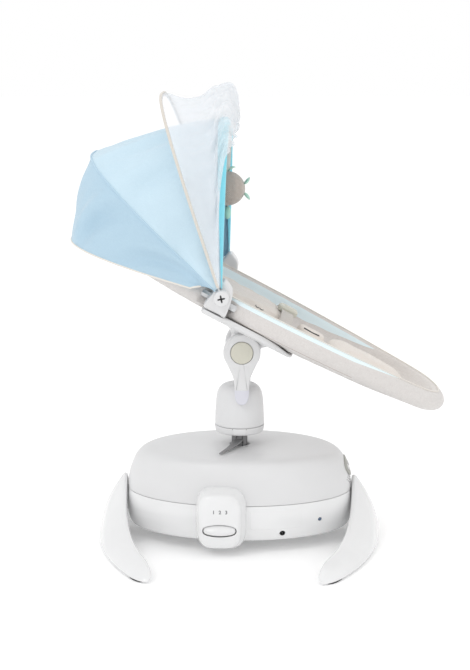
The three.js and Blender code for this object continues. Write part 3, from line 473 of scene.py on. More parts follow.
def spun(name, profile, finish, centre, axis="Z", sides=96, **facts):
    """Radius and height pairs, in metres, spun about an axis through centre; the profile starts and ends on it or
    closes on itself."""
    turn = np.arange(sides) * 2 * math.pi / sides
    swap = {"Z": (0, 1, 2), "Y": (0, 2, 1), "X": (2, 0, 1)}[axis]
    rings = []
    for r, h in profile:
        local = np.column_stack([r * np.cos(turn), r * np.sin(turn), np.full(sides, h)])
        rings.append(local[:, swap] + np.array(centre))
    if profile[0][0] < 1e-7:
        return lofted(name, rings[1:-1], finish, True, **facts)
    return lofted(name, rings, finish, False, **facts)


def rounded(corner, centre, start, end, steps=5):
    """Points of a corner's arc, from start to end in degrees."""
    turns = np.radians(np.linspace(start, end, steps))
    return [(centre[0] + corner * math.cos(t), centre[1] + corner * math.sin(t)) for t in turns]


def out_of(outline):
    """The unit normal at each point of a flat closed outline, facing out of it."""
    run = np.roll(outline, -1, 0) - np.roll(outline, 1, 0)
    out = np.column_stack([run[:, 1], -run[:, 0]]) / np.linalg.norm(run, axis=1)[:, None]
    return out * math.copysign(1, np.sum(out * (outline - outline.mean(axis=0))))


def plate(name, outline, front, back, edge, finish, dome=0.0, **facts):
    """An outline in x and z, made solid from y front to y back, with round edges and a slightly domed front."""
    outline = np.array(outline, float)
    out = out_of(outline)
    middle = outline.mean(axis=0)
    way = math.copysign(1, back - front)
    rings = []

    def ring(shrunk, inset, y):
        flat = middle + (outline - out * inset - middle) * shrunk
        rings.append(np.column_stack([flat[:, 0], np.full(len(flat), y), flat[:, 1]]))

    for share in (0.05, 0.35, 0.7):
        ring(share, edge * 1.1, front - way * dome * (1 - share ** 2))
    for turn in np.radians(np.linspace(0, 90, 6)):
        ring(1, edge * (1 - math.sin(turn)), front + way * edge * (1 - math.cos(turn)))
    for turn in np.radians(np.linspace(90, 0, 6)):
        ring(1, edge * (1 - math.sin(turn)), back - way * edge * (1 - math.cos(turn)))
    for share in (0.7, 0.05):
        ring(share, edge * 1.1, back)
    return lofted(name, rings, finish, **facts)


def settled(piece):
    """A piece's mesh, after its modifiers have been worked into it for good."""
    bpy.context.view_layer.update()
    mesh = bpy.data.meshes.new_from_object(piece.evaluated_get(bpy.context.evaluated_depsgraph_get()))
    piece.modifiers.clear()
    piece.data = mesh
    for polygon in mesh.polygons:
        polygon.use_smooth = True
    return mesh


def cut_away(piece, tool):
    """Takes a solid shape out of a piece for good, and removes the tool."""
    carve = piece.modifiers.new("carve", "BOOLEAN")
    carve.operation, carve.object, carve.solver = "DIFFERENCE", tool, "EXACT"
    settled(piece).set_sharp_from_angle(angle=math.radians(40))
    bpy.data.objects.remove(tool)


print("helpers ready")

# %% [markdown]
# ## The base shells
# The base is an oval, 442 by 286 mm, in two mouldings: a satin dome with a nearly flat crown and a soft shoulder,
# and a glossier band that bulges a little and tucks in towards the floor. They meet at a fine groove, which comes
# from the rounded lips of both shells and not from a painted line. Every small part on the base follows one of
# these two surfaces, so each surface is a function of a turn round the oval and a height.

# %% Dome and band
cover_low, cover_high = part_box("base_top_cover")
shell_low, shell_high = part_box("base_lower_shell")
base_x, base_y = (cover_high.x - cover_low.x) / 2, cover_high.y
seam_z = (cover_low.z + shell_high.z) / 2
dome_top, base_low = cover_high.z, shell_low.z
neck_hole = 18.5 * MM
wall = 3 * MM
# Inset along, inset across and share of the height, from the seam
dome_keys = [(0, 0, 0), (0.4, 0.2, 0.1), (1.5, 0.7, 0.24), (4, 1.8, 0.4), (9, 4, 0.56), (17, 7.5, 0.76),
             (30, 13.5, 0.9), (50, 26, 0.965), (90, 58, 0.993)]
band_keys = [(0, 0, 0), (-2, -2, 0.14), (-3, -3, 0.3), (-2.8, -2.8, 0.46), (-1.8, -1.8, 0.64), (1.5, 1.5, 0.84),
             (5.5, 5.5, 0.95), (14, 14, 1)]
dome_curve = through([(a * MM, b * MM, seam_z + (dome_top - seam_z) * up) for a, b, up in dome_keys], 44)
band_curve = through([(a * MM, b * MM, seam_z - (seam_z - base_low) * down) for a, b, down in band_keys], 36)


def on_base(turn, z, out=0.0):
    """A point of the base's surface at a turn round the oval and a height, moved out by a little."""
    curve = dome_curve if z > seam_z else band_curve[::-1]
    inset_x, inset_y = np.interp(z, curve[:, 2], curve[:, 0]), np.interp(z, curve[:, 2], curve[:, 1])
    a, b = base_x - inset_x, base_y - inset_y
    point = np.array([column_x + a * math.cos(turn), b * math.sin(turn), z])
    normal = np.array([math.cos(turn) / a, math.sin(turn) / b, 0])
    return point + out * normal / np.linalg.norm(normal)


def level(inset_x, inset_y, z):
    return oval(base_x - inset_x, base_y - inset_y, z, 160, centre=(column_x, 0))


lip, half_gap = 0.7 * MM, 0.0004


def lip_rings(curve, way):
    """The rounded lip of a shell at the seam; way is 1 for the dome above it and -1 for the band below."""
    a, b, _ = curve[0]
    return [level(a + lip * (1 - math.sin(t)), b + lip * (1 - math.sin(t)),
                  seam_z + way * half_gap + way * lip * (1 - math.cos(t))) for t in np.radians((0, 25, 50, 70, 90))]


outside = lip_rings(dome_curve, 1) + [level(a, b, z) for a, b, z in dome_curve if z > seam_z + half_gap + lip]
crown = [oval(r, r, z, 160, centre=(column_x, 0)) for r, z in
         [(75 * MM, dome_top), (45 * MM, dome_top)] + rounded(3 * MM, (neck_hole + 3 * MM, dome_top - 3 * MM), 90, 180)
         + [(neck_hole, dome_top - 30 * MM), (neck_hole + wall, dome_top - 30 * MM),
            (neck_hole + wall, dome_top - wall - 2 * MM), (60 * MM, dome_top - wall)]]
inside = [level(a + wall, b + wall, min(z, dome_top - wall - 1e-4)) for a, b, z in dome_curve[::-3]]
dome = lofted("dome_shell", outside + crown + inside, "white_satin", False, body="base",
              replaces=("base_top_cover",), slot="white_satin")

outside = lip_rings(band_curve, -1) + [level(a, b, z) for a, b, z in band_curve if z < seam_z - half_gap - lip]
outside += [level(60 * MM, 60 * MM, base_low), level(100 * MM, 100 * MM, base_low)]
inside = [level(a + wall, b + wall, max(z, base_low + wall)) for a, b, z in band_curve[::3]]
band = lofted("band_shell", [*inside[::-1], *outside], "white_gloss", body="base",
              replaces=("base_lower_shell",), slot="white_gloss")
print("dome and band", len(dome.data.vertices), len(band.data.vertices), "points")

# %% [markdown]
# ## The crescent legs
# Each leg is one glossy moulding that hugs an end of the base. On the floor its outer edge runs along a wide arc;
# above it leans in over its own foot and rises to a peak beside the dome, so its height falls quickly at first
# and then slowly towards the tip. A soft ridge parts the outer face from the edge that faces up. It is lofted
# from sections along the arc, and then the base, grown by a small gap, is cut out of it, so that the leg follows
# the base's own curve.

# %% Legs
leg_box_low, leg_box_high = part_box("leg_foot_end")
leg_reach = leg_box_high.x - column_x
leg_tip = leg_box_high.y
leg_peak = leg_box_high.z
leg_arc = 536 * MM
leg_inset = 54 * MM
leg_floor = leg_box_low.z


def leg_section(along):
    """A closed section as pairs: distance in from the outer floor edge, height."""
    full_turn = math.asin(min(1, (leg_tip + 7 * MM) / leg_arc))
    near_tip = max(0.0, (along - leg_tip + 34 * MM) / (full_turn * leg_arc - leg_tip + 34 * MM))
    full = math.sqrt(max(0.0, 1 - near_tip ** 2.4))
    fall = math.exp(-math.hypot(along, 8 * MM) / (70 * MM) + 8 / 70)
    slow = 26 * MM + 18 * MM * max(0, 1 - along / leg_tip) ** 1.5
    height = slow + (leg_peak - leg_floor - slow - 0.0005) * fall
    inset = leg_inset * (1 - 0.34 * min(1, along / leg_tip) ** 2.2)
    thick = min(22 * MM, inset * 0.75)
    keys = [(0.2, 0), (0, 0.07), (0.05, 0.26), (0.22, 0.5), (0.46, 0.72), (0.7, 0.89), (0.86, 0.985), (0.96, 1),
            (1, 0.93), (1.0, 0.78)]
    keys = [(q * inset, z * height) for q, z in keys]
    keys += [(max(thick, 0.8 * inset), 0.5 * height), (max(thick, 0.6 * inset), 0.22 * height),
             (thick, 0.05 * height), (thick * 0.8, 0)]
    middle = inset * 0.5
    return [(middle + (q - middle) * full, leg_floor + z * max(0.28, full)) for q, z in through(keys, 44, True)]


def leg(end, side):
    rings = []
    reach = math.asin((leg_tip + 7 * MM) / leg_arc)
    for share in np.sin(np.linspace(-math.pi / 2, math.pi / 2, 101)):
        turn = reach * share
        ring = []
        for q, z in leg_section(abs(turn) * leg_arc):
            r = leg_arc - q
            ring.append((column_x + side * (leg_reach - leg_arc + r * math.cos(turn)), r * math.sin(turn), z))
        rings.append(ring)
    rings = [r for r in rings if np.ptp(np.array(r), axis=0).max() > 0.002]
    gap = 1.2 * MM
    grown = [oval(base_x - a + gap, base_y - b + gap, z, 128, centre=(column_x, 0))
             for a, b, z in [*band_curve[::-2], *dome_curve[1:30:2]]]
    piece = lofted(f"leg_{end}_shell", rings, "white_gloss", body="base", replaces=(f"leg_{end}_end",),
                   slot="white_gloss")
    cut_away(piece, lofted("leg_cutter", grown, "white_gloss"))
    return piece


for end, side in (("head", -1), ("foot", 1)):
    print(end, "leg", len(leg(end, side).data.vertices), "points")

# %% [markdown]
# ## Things let into the base
# The battery door, the control panel and its keys all follow the curve of the shell they sit in. Each is a patch:
# an outline drawn on the unrolled shell, filled with rings from its middle out, and pushed down at its rim, so
# that a fine shadow line runs round it, as on a real door.

# %% Patches on the base's surface
def outline_box(half_u, half_v, corner, steps=9):
    """A rounded rectangle as pairs."""
    points = []
    for cx, cy, start in ((1, 1, 0), (-1, 1, 90), (-1, -1, 180), (1, -1, 270)):
        points += rounded(corner, (cx * (half_u - corner), cy * (half_v - corner)), start, start + 90, steps)
    fine = []
    for a, b in zip(points, points[1:] + points[:1]):
        pieces = max(1, int(math.dist(a, b) / (3 * MM)))
        fine += [tuple(np.array(a) + (np.array(b) - a) * k / pieces) for k in range(pieces)]
    return fine


def patch(name, turn, z, outline, finish, proud=0.7 * MM, depth=2 * MM, edge=0.9 * MM, **facts):
    """A thin cover on the base, in the middle of which stands the point at that turn and height."""
    outline = np.array(outline)
    speed = math.hypot(base_x * math.sin(turn), base_y * math.cos(turn))
    half = np.abs(outline).max(axis=0)
    rings = []
    steps = [(share, proud) for share in (0.04, 0.2, 0.4, 0.6, 0.8, 0.93)]
    steps += [(1 - (edge / half.min()) * (1 - math.sin(t)), proud - edge * (1 - math.cos(t)))
              for t in np.radians((0, 30, 60, 90))]
    steps += [(1, proud - depth), (0.5, proud - depth), (0.04, proud - depth)]
    for share, out in steps:
        rings.append([on_base(turn + u * share / speed, z + v * share, out) for u, v in outline])
    return lofted(name, rings, finish, **facts)


def turn_at(x):
    """The turn at which the near side of the base's edge stands at that x."""
    return -math.acos(max(-1, min(1, (x - column_x) / base_x)))


def middle_of(node):
    """The middle of a node's box."""
    return [(low + high) / 2 for low, high in zip(*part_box(node))]


door_x, _, door_z = middle_of("battery_door")
patch("battery_cover", turn_at(door_x), door_z, outline_box(50 * MM, 19 * MM, 5 * MM), "white_gloss", 0.35 * MM,
      body="door", replaces=("battery_door",), slot="white_gloss")

jack_place = sum(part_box("dc_jack"), Vector()) / 2
jack_turn = turn_at(jack_place.x)
jack_at = on_base(jack_turn, jack_place.z)
jack_way = on_base(jack_turn, jack_place.z, 1.0) - jack_at


def toward(local, origin, out):
    """A point given as sideways, up and outwards, set at origin facing out."""
    out = Vector(out).normalized()
    side = Vector((0, 0, 1)).cross(out).normalized()
    up = out.cross(side)
    return Vector(origin) + side * local[0] + up * local[1] + out * local[2]


def socket_rings(profile, origin, out, sides=40, stretch=1.0):
    turns = np.arange(sides) * 2 * math.pi / sides
    return [[toward((r * stretch * math.cos(t), r * math.sin(t), h), origin, out) for t in turns]
            for r, h in profile]


jack_profile = [(0.4 * MM, -7 * MM), (3.3 * MM, -7 * MM), (3.4 * MM, 0), (3.8 * MM, 0.5 * MM), (4.6 * MM, 0.5 * MM),
                (4.9 * MM, 0), (4.9 * MM, -8 * MM), (0.4 * MM, -8 * MM)]
cut_away(band, lofted("jack_cutter", socket_rings([(4.95 * MM, 6 * MM), (4.95 * MM, -9 * MM)], jack_at, jack_way,
                                                 stretch=1.15),
                      "black_plastic"))
lofted("power_inlet", socket_rings(jack_profile, jack_at, jack_way, stretch=1.15), "black_plastic", body="base",
       replaces=("dc_jack",), slot="black_plastic")
lofted("power_pin", socket_rings([(0.9 * MM, -8 * MM), (0.9 * MM, -1.6 * MM), (0.5 * MM, -1 * MM)], jack_at, jack_way,
                                 20), "steel", body="base", slot="steel")

light_x, _, light_z = middle_of("status_light")
light_turn = turn_at(light_x)
light_at = on_base(light_turn, light_z)
light_way = on_base(light_turn, light_z, 1.0) - light_at
lens_profile = [(3.4 * MM * math.sin(t), 1.2 * MM * math.cos(t)) for t in np.radians((8, 30, 50, 70, 90))]
lofted("status_lens", socket_rings(lens_profile + [(3.4 * MM, -1.5 * MM)], light_at, light_way, stretch=1.25),
       "lens", body="base", replaces=("status_light",), slot="lens")
ring_profile = [(3.6 * MM, 0.1 * MM), (4.0 * MM, 0.6 * MM), (5.4 * MM, 0.35 * MM), (5.6 * MM, -1.5 * MM),
                (3.6 * MM, -1.5 * MM)]
lofted("status_bezel", socket_rings(ring_profile, light_at, light_way, stretch=1.25), "white_gloss", False,
       body="base", slot="white_gloss")
print("door, inlet and light")

# %% [markdown]
# ## Control panel
# At the foot end, under the seat, a grey oval panel faces away from the column. It carries two keys and a fan of
# small sound holes, each drawn as a black cone of painted shade for its dark inside. Its face is laid out plainly,
# with no lettering.

# %% Panel, keys and sound holes
panel_low, panel_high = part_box("control_panel")
panel_z = middle_of("control_panel")[2]
panel_half = (0.74 * panel_high.y, (panel_high.z - panel_low.z) / 2)
around = whole_turn(72)
panel_outline = [(panel_half[0] * math.cos(t), panel_half[1] * math.sin(t)) for t in around]
patch("panel_face", 0.0, panel_z, panel_outline, "panel_grey", 2.4 * MM, 4 * MM, 0.8 * MM, body="base",
      replaces=("control_panel",), slot="panel_grey")
for number, side in ((1, -1), (2, 1)):
    key_y = middle_of(f"panel_key_{number}")[1]
    key_outline = [(6 * MM * math.cos(t), 6 * MM * math.sin(t)) for t in around[::2]]
    patch(f"key_{number}", math.asin(key_y / (base_y - 3 * MM)), panel_z, key_outline, "white_satin", 3.6 * MM, 7 * MM,
          0.9 * MM, body=f"key_{number}", replaces=(f"panel_key_{number}",), slot="white_satin")
# Each sound hole is a small black cone on the panel: painted shade for the dark inside of the hole
sound_hole_shades, corners = [], 10
for row, radius in ((0, 27 * MM), (1, 33 * MM), (2, 39 * MM)):
    for turn in np.radians(np.linspace(-142, -38, 9 + 2 * row)):
        spot = (radius * 1.18 * math.cos(turn), radius * 0.86 * math.sin(turn))
        hole_turn = spot[0] / base_y
        at = on_base(hole_turn, panel_z + spot[1])
        way = on_base(hole_turn, panel_z + spot[1], 1.0) - at
        rings = socket_rings([(1.3 * MM, 0.25 * MM), (0.2 * MM, -0.6 * MM)], at, way, corners)
        sound_hole_shades.append(np.array(rings).reshape(-1, 3))
hole_faces = []
for index in range(len(sound_hole_shades)):
    start = 2 * corners * index
    hole_faces.append([start + j for j in range(corners)])
    hole_faces.append([start + 2 * corners - 1 - j for j in range(corners)])
    hole_faces += [tuple(start + j for j in face) for face in ring_faces(2, corners)]
mesh_piece("sound_hole_shades", np.vstack(sound_hole_shades), hole_faces, "black_plastic", body="base", slot="black_plastic")
print("panel with", len(sound_hole_shades), "sound holes")

# %% [markdown]
# ## The selector
# A soft square pod grows out of the front of the band. Its face is slightly domed and carries the numbers 1 2 3,
# and a lens-shaped paddle rocks in a scooped recess below them. The pod is lofted along its depth from squarish
# ovals that flare towards the base, and the scoop is cut with a slightly larger copy of the paddle.

# %% Pod and paddle
paddle_low, paddle_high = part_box("selector_paddle")
paddle_place = (paddle_low + paddle_high) / 2
pod_x, pod_z = paddle_place.x, middle_of("selector_pod")[2]
pod_half = (42 * MM, 54 * MM)
pod_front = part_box("selector_pod")[0].y
pod_keys = [(46, 7.0), (36, 6.6), (26, 5.4), (18, 3.0), (12, 0.8), (8, -0.6), (5, -2.2), (3, -4), (1.4, -7),
            (0.5, -11), (0.15, -17), (0, -24)]
pod_rings = []
for depth, grow in through([(d * MM, g * MM) for d, g in pod_keys], 30):
    ring = oval(pod_half[0] + grow, pod_half[1] + grow, 0, 112, 3.6)
    pod_rings.append([(pod_x + x + max(0, grow) * 0.4, pod_front + depth, pod_z + z) for x, z, _ in ring])
pod = lofted("selector_housing", pod_rings, "white_gloss", body="base", replaces=("selector_pod",),
             slot="white_gloss")


def paddle_rings(grow=0.0, shift=0.0):
    half = (paddle_high - paddle_low) / 2
    rings = []
    for t in np.linspace(0.06, math.pi - 0.06, 30):
        c, s = math.cos(t), math.sin(t)
        turns = whole_turn(56)
        flat = math.copysign(abs(c) ** 1.25, c)
        rings.append([(paddle_place.x + (half.x + grow) * flat,
                       paddle_place.y + (half.y + grow) * s ** 0.5 * math.cos(k) + shift,
                       paddle_place.z + (half.z + grow) * s ** 0.5 * math.sin(k)) for k in turns])
    return rings


cut_away(pod, lofted("scoop", paddle_rings(2.2 * MM, 0.5 * MM), "white_gloss"))
lofted("selector_lens", paddle_rings(), "white_gloss", body="selector", replaces=("selector_paddle",),
       slot="white_gloss")

for digit, place_x in (("1", -11), ("2", 1), ("3", 13)):
    data = bpy.data.curves.new("digit_" + digit, "FONT")
    data.body, data.size, data.extrude, data.align_x, data.align_y = digit, 9.5 * MM, 0.1 * MM, "CENTER", "CENTER"
    data.offset = 0.3 * MM
    label = put_in_scene("digit_label", data)
    bpy.context.view_layer.update()
    flat = bpy.data.meshes.new_from_object(label.evaluated_get(bpy.context.evaluated_depsgraph_get()))
    bpy.data.objects.remove(label)
    points = [(pod_x + place_x * MM + v.co.x, pod_front - 0.02 * MM - v.co.z, pod_z + 20 * MM + v.co.y)
              for v in flat.vertices]
    mesh_piece("number_" + digit, points, [list(p.vertices) for p in flat.polygons], "print_grey", body="base")
print("selector with its numbers")

# %% [markdown]
# ## The column
# A grey ribbed sleeve rises from the dome into a white collar and housing. The collar carries a press latch on
# its front, and a curved grey lever swings out over the dome. Everything here is round, so profiles are spun
# about the column's axis; the latch and lever are thin curved pieces of their own.

# %% Neck, collar and housing
axis = (column_x, 0, 0)
neck_low, neck_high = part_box("neck_sleeve")
neck_r = neck_high.y
ribs = 8
neck_rings = []
for z in np.linspace(neck_low.z, neck_high.z, 14):
    turns = whole_turn(192)
    open_slot = 0.0 if z < neck_low.z + 5 * MM or z > neck_high.z - 3 * MM else 1.0
    slots = np.exp(-((((turns + math.pi / 2 + math.pi / ribs) * ribs / (2 * math.pi) + 0.5) % 1 - 0.5) / 0.1) ** 4)
    r = neck_r - 3.2 * MM * open_slot * slots
    neck_rings.append(np.column_stack([column_x + r * np.cos(turns), r * np.sin(turns), np.full(192, z)]))
lofted("neck", neck_rings, "grey_plastic", body="sway", replaces=("neck_sleeve",), slot="grey_plastic", sharp=30)

collar_low, collar_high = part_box("collar")
collar_r = collar_high.y
z0, z1 = collar_low.z, collar_high.z
collar_profile = [(neck_r + 0.5 * MM, z0)] + [(collar_r - 7 * MM, z0)] + \
    rounded(5 * MM, (collar_r - 6 * MM, z0 + 5 * MM), -90, 0, 7) + \
    [(collar_r + 0.6 * MM, z1 - 1.4 * MM)] + rounded(0.7 * MM, (collar_r - 0.1 * MM, z1 - 0.7 * MM), 0, 90, 4) + \
    [(collar_r - 5 * MM, z1), (collar_r - 5 * MM, z0 + 5 * MM), (neck_r + 0.5 * MM, z0 + 5 * MM)]
spun("collar_ring", collar_profile, "white_satin", axis, sides=128, body="sway", replaces=("collar",),
     slot="white_satin")


def on_collar(x, z, out):
    """A point of the collar's front at a distance sideways, moved out by a little."""
    turn = -math.pi / 2 + x / collar_r
    drop = max(0.0, 5 * MM - (z - z0))
    r = collar_r - 1 * MM - (5 * MM - math.sqrt(max(0, (5 * MM) ** 2 - drop ** 2))) + out + 0.9 * MM * min(
        1, (z - z0) / (5 * MM))
    return (column_x + r * math.cos(turn), r * math.sin(turn), z)


latch_rings = []
for share, out in ((0.05, 0.9), (0.5, 0.9), (0.9, 0.9), (0.97, 0.75), (1, 0.3), (1, -1.5), (0.05, -1.5)):
    ring = []
    for u, v in outline_box(1.0, 1.0, 0.16, 5)[::6]:
        half = 12.6 * MM + 1.6 * MM * v
        height = (z0 + z1) / 2 + v * share * (z1 - z0 - 2 * MM) / 2
        ring.append(on_collar(1 * MM + u * share * half, height, out * MM))
    latch_rings.append(ring)
lofted("latch_tab", latch_rings, "white_satin", body="latch", replaces=("collar_latch",), slot="white_satin")
for number, x in ((1, -12.5), (2, 14.5)):
    at = Vector(on_collar(x * MM, z1 - 1.2 * MM, 0.75 * MM))
    lofted(f"latch_dot_{number}", socket_rings([(0.9 * MM, 0.15 * MM), (0.9 * MM, -1 * MM)], at,
                                               at - Vector((column_x, 0, at.z)), 16), "grey_plastic", body="latch")

house_low, house_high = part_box("column_housing")
house_r = house_high.y
house_keys = [(0, 0), (-0.4, 12), (-0.9, 26), (-1.9, 44), (-3.6, 58), (-6.4, 67.5), (-11, 74.5), (-18, 79.4),
              (-27, 81.8), (-36, 82.3)]
house_curve = through([(house_r + a * MM, house_low.z + b * MM) for a, b in house_keys], 40)
house_profile = [(house_r - 1.2 * MM, house_low.z + 0.3 * MM), (house_r - 0.5 * MM, house_low.z + 0.4 * MM)] + \
    [tuple(p) for p in house_curve if p[1] > house_low.z + 1 * MM] + \
    [(0.5 * MM, house_high.z), (0.5 * MM, house_high.z - 20 * MM), (house_r - 9 * MM, house_high.z - 24 * MM),
     (house_r - 4 * MM, house_low.z + 40 * MM), (house_r - 3.5 * MM, house_low.z + 0.3 * MM)]
spun("housing", house_profile, "white_satin", axis, sides=128, body="column", replaces=("column_housing",),
     slot="white_satin")

# %% Release lever
lever_z = middle_of("release_lever")[2]
lever_path = through([(-1.5, -13), (-5, -26), (-11, -43), (-21, -66), (-35, -90)], 26)
lever_rings = []
for index, (x, y) in enumerate(lever_path):
    share = index / (len(lever_path) - 1)
    half_wide = (8.4 - 6.4 * share ** 1.6) * MM
    half_tall = (3.0 - 1.6 * share) * MM
    height = lever_z + (1.5 * (1 - share) - 5 * share) * MM
    step = np.gradient(lever_path, axis=0)[index]
    across = np.array([-step[1], step[0]]) / np.linalg.norm(step)
    ring = []
    for t in whole_turn(24):
        side = half_wide * math.copysign(abs(math.cos(t)) ** 0.6, math.cos(t))
        tall = half_tall * math.copysign(abs(math.sin(t)) ** 0.8, math.sin(t)) + 0.8 * MM * (side / half_wide) ** 2
        ring.append((column_x + x * MM + across[0] * side, y * MM + across[1] * side, height + tall))
    lever_rings.append(ring)
lofted("lever_blade", lever_rings, "grey_plastic", body="lever", replaces=("release_lever",), slot="grey_plastic")
print("column up to the housing")

# %% [markdown]
# ## Arms, tips and recline buttons
# Two teardrop arms stand on the housing and carry the seat between them. Each ends low on the housing in a grey
# tip and holds a round beige button in a shallow well, which frees the recline when both are pressed. Generously
# rounded edges give the moulded look, and the well is a little wider than the button, which leaves a dark rim.

# %% Arms
pivot = Vector(joints["seat_recline"]["pos_m"])
arm_low, arm_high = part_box("arm_near")
arm_r = (arm_high.x - arm_low.x) / 2
tip_low, tip_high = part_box("arm_tip_near")
arm_foot = tip_high.z
neck_half = (tip_high.x - tip_low.x) / 2
leave = math.radians(-36)
round_part = [(arm_r * math.cos(t), arm_r * math.sin(t)) for t in np.linspace(leave, math.pi - leave, 72)]
drop = arm_foot - pivot.z
side_curve = through([round_part[-1], (-0.62 * arm_r, -0.036), (-neck_half - 3 * MM, -0.048),
                      (-neck_half - 0.6 * MM, -0.062), (-neck_half, drop)], 24)
left = [tuple(p) for p in side_curve[1:]]
right = [(-x, z) for x, z in left[::-1]]
corner = 4 * MM
foot = rounded(corner, (-neck_half + corner, drop + corner), 180, 270, 6) + \
    rounded(corner, (neck_half - corner, drop + corner), 270, 360, 6)
arm_keys = round_part[::3] + left[:-2] + foot + right[2:]
arm_outline = [(pivot.x + x, pivot.z + z) for x, z in through(arm_keys, 220, True)]
tip_drop = tip_low.z - tip_high.z
tip_curve = through([(neck_half, 0), (neck_half - 0.4 * MM, tip_drop * 0.35), (neck_half - 2.2 * MM, tip_drop * 0.66),
                     (neck_half - 7 * MM, tip_drop * 0.93), (0, tip_drop), (-neck_half + 7 * MM, tip_drop * 0.93),
                     (-neck_half + 2.2 * MM, tip_drop * 0.66), (-neck_half + 0.4 * MM, tip_drop * 0.35),
                     (-neck_half, 0)], 48)
tip_outline = [(pivot.x + x, tip_high.z + z) for x, z in tip_curve]


def arm_plate(name, outline, front, back, edge, well, depth, way, finish, **facts):
    """The arm: a plate with round edges and a shallow round well for the button."""
    outline = np.array(outline)
    out = out_of(outline)
    centre = np.array([pivot.x, pivot.z])
    toward_edge = outline - centre
    round_well = centre + toward_edge / np.linalg.norm(toward_edge, axis=1)[:, None] * well
    rings = [(centre + (round_well - centre) * 0.04, front - way * depth), (round_well, front - way * depth),
             (round_well, front - way * 0.4 * MM), (centre + (round_well - centre) * 1.02, front)]
    for turn in np.radians(np.linspace(0, 90, 7)):
        rings.append((outline - out * edge * (1 - math.sin(turn)), front - way * edge * (1 - math.cos(turn))))
    for turn in np.radians(np.linspace(90, 0, 7)):
        rings.append((outline - out * edge * (1 - math.sin(turn)), back + way * edge * (1 - math.cos(turn))))
    rings += [(centre + (round_well - centre) * share, back) for share in (1, 0.04)]
    loops = [np.column_stack([flat[:, 0], np.full(len(flat), y), flat[:, 1]]) for flat, y in rings]
    return lofted(name, loops, finish, **facts)


for side, way in (("near", -1), ("far", 1)):
    low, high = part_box(f"arm_{side}")
    outer, inner = (low.y, high.y) if way < 0 else (high.y, low.y)
    button_low, button_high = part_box(f"recline_button_{side}")
    button_r = button_high.z - pivot.z
    face = button_low.y if way < 0 else button_high.y
    well = button_r + 0.9 * MM
    arm_plate(f"arm_{side}_shell", arm_outline, outer, inner, 3.2 * MM, well, 6 * MM, way, "white_satin",
              body="column", replaces=(f"arm_{side}",), slot="white_satin", sharp=40)
    tip = [(x, z + (3 * MM if z > tip_high.z - 0.5 * MM else 0)) for x, z in tip_outline]
    plate(f"tip_{side}", tip, outer - way * 0.8 * MM, inner, 2.2 * MM, "tip_grey", body="column",
          replaces=(f"arm_tip_{side}",), slot="tip_grey")
    disc_profile = [(0.3 * MM, face + way * 0.7 * MM)] + \
        [(button_r * s, face + way * 0.7 * MM * (1 - s * s)) for s in (0.3, 0.6, 0.85)] + \
        [(button_r - 1 * MM, face), (button_r - 0.3 * MM, face - way * 0.4 * MM), (button_r, face - way * 1.3 * MM),
         (button_r, face - way * 4 * MM), (0.3 * MM, face - way * 4 * MM)]
    disc_rings = []
    for r, y in disc_profile:
        turns = whole_turn(96)
        disc_rings.append(np.column_stack([pivot.x + r * np.cos(turns), np.full(96, y), pivot.z + r * np.sin(turns)]))
    lofted(f"button_{side}", disc_rings, "beige_plastic", body=f"recline_{side}",
           replaces=(f"recline_button_{side}",), slot="beige_plastic")
print("arms, tips and buttons")

# %% [markdown]
# ## The seat's own directions
# The seat leans back by 27.5 degrees, so its pieces are drawn along it: `u` runs from head to foot, `y` across and
# `w` straight up from the seat. One function turns those into places in the frame.

# %% Seat directions and carrier
lean = math.radians(27.5)
seat_x, seat_z = -0.0315, 0.379  # where u, y and w are all nothing


def on_seat(u, y, w):
    """A place, or many, given along the seat, across it and up from it, in metres."""
    u, y, w = (np.asarray(v, float) for v in (u, y, w))
    x = seat_x + u * math.cos(lean) + w * math.sin(lean)
    return np.stack([x, y + 0 * x, seat_z - u * math.sin(lean) + w * math.cos(lean)], -1)


along_seat, up_seat = on_seat(1, 0, 0) - on_seat(0, 0, 0), on_seat(0, 0, 1) - on_seat(0, 0, 0)
# The saddle: a thin tray that rises to the sides. Each station is y, two ends along u, the underside and the top.
stations = through([(0, -108, 90, 36.5, 42), (60, -108, 88, 37, 42.5), (90, -108, 82, 39.5, 46),
                    (110, -109, 70, 43, 51), (130, -110, 52, 48, 58), (150, -111, 22, 53, 64),
                    (164, -112, -20, 56, 66.5), (178, -112, -56, 58, 67.5), (196, -111, -70, 60.5, 67.6)], 22) * MM


def tray_ring(y, start, end, under, top):
    """A flat loop across the saddle with round ends."""
    half, middle = (top - under) / 2, (top + under) / 2
    loop = [(end - half + half * math.cos(t), middle + half * math.sin(t))
            for t in np.radians(np.linspace(-90, 90, 9))]
    loop += [(u, top) for u in np.linspace(end - half, start + half, 22)[1:-1]]
    loop += [(start + half + half * math.cos(t), middle + half * math.sin(t))
             for t in np.radians(np.linspace(90, 270, 9))]
    loop += [(u, under) for u in np.linspace(start + half, end - half, 22)[1:-1]]
    loop = np.array(loop)
    return on_seat(loop[:, 0], y, loop[:, 1])


sides = [(-y, a, b, c, d) for y, a, b, c, d in stations[::-1]] + list(stations[1:])
lofted("seat_carrier_saddle", [tray_ring(*s) for s in sides], "white_satin", body="seat",
       replaces=("seat_carrier",), slot="white_satin", sharp=60)
neck_keys = [(-24, 16, 40, 0), (-8, 26, 40.5, 0), (8, 29, 40.5, 0), (20, 35, 42, -1), (30, 50, 50, -3),
             (37.5, 76, 74, -6)]
neck_rings = []
for w, half_u, half_y, middle in through(neck_keys, 26) * MM:
    ring = oval(half_u, half_y, 0, 96, 4.0)
    neck_rings.append(on_seat(middle + ring[:, 0], ring[:, 1], w))
lofted("seat_carrier_neck", neck_rings, "white_satin", body="seat", slot="white_satin", sharp=60)
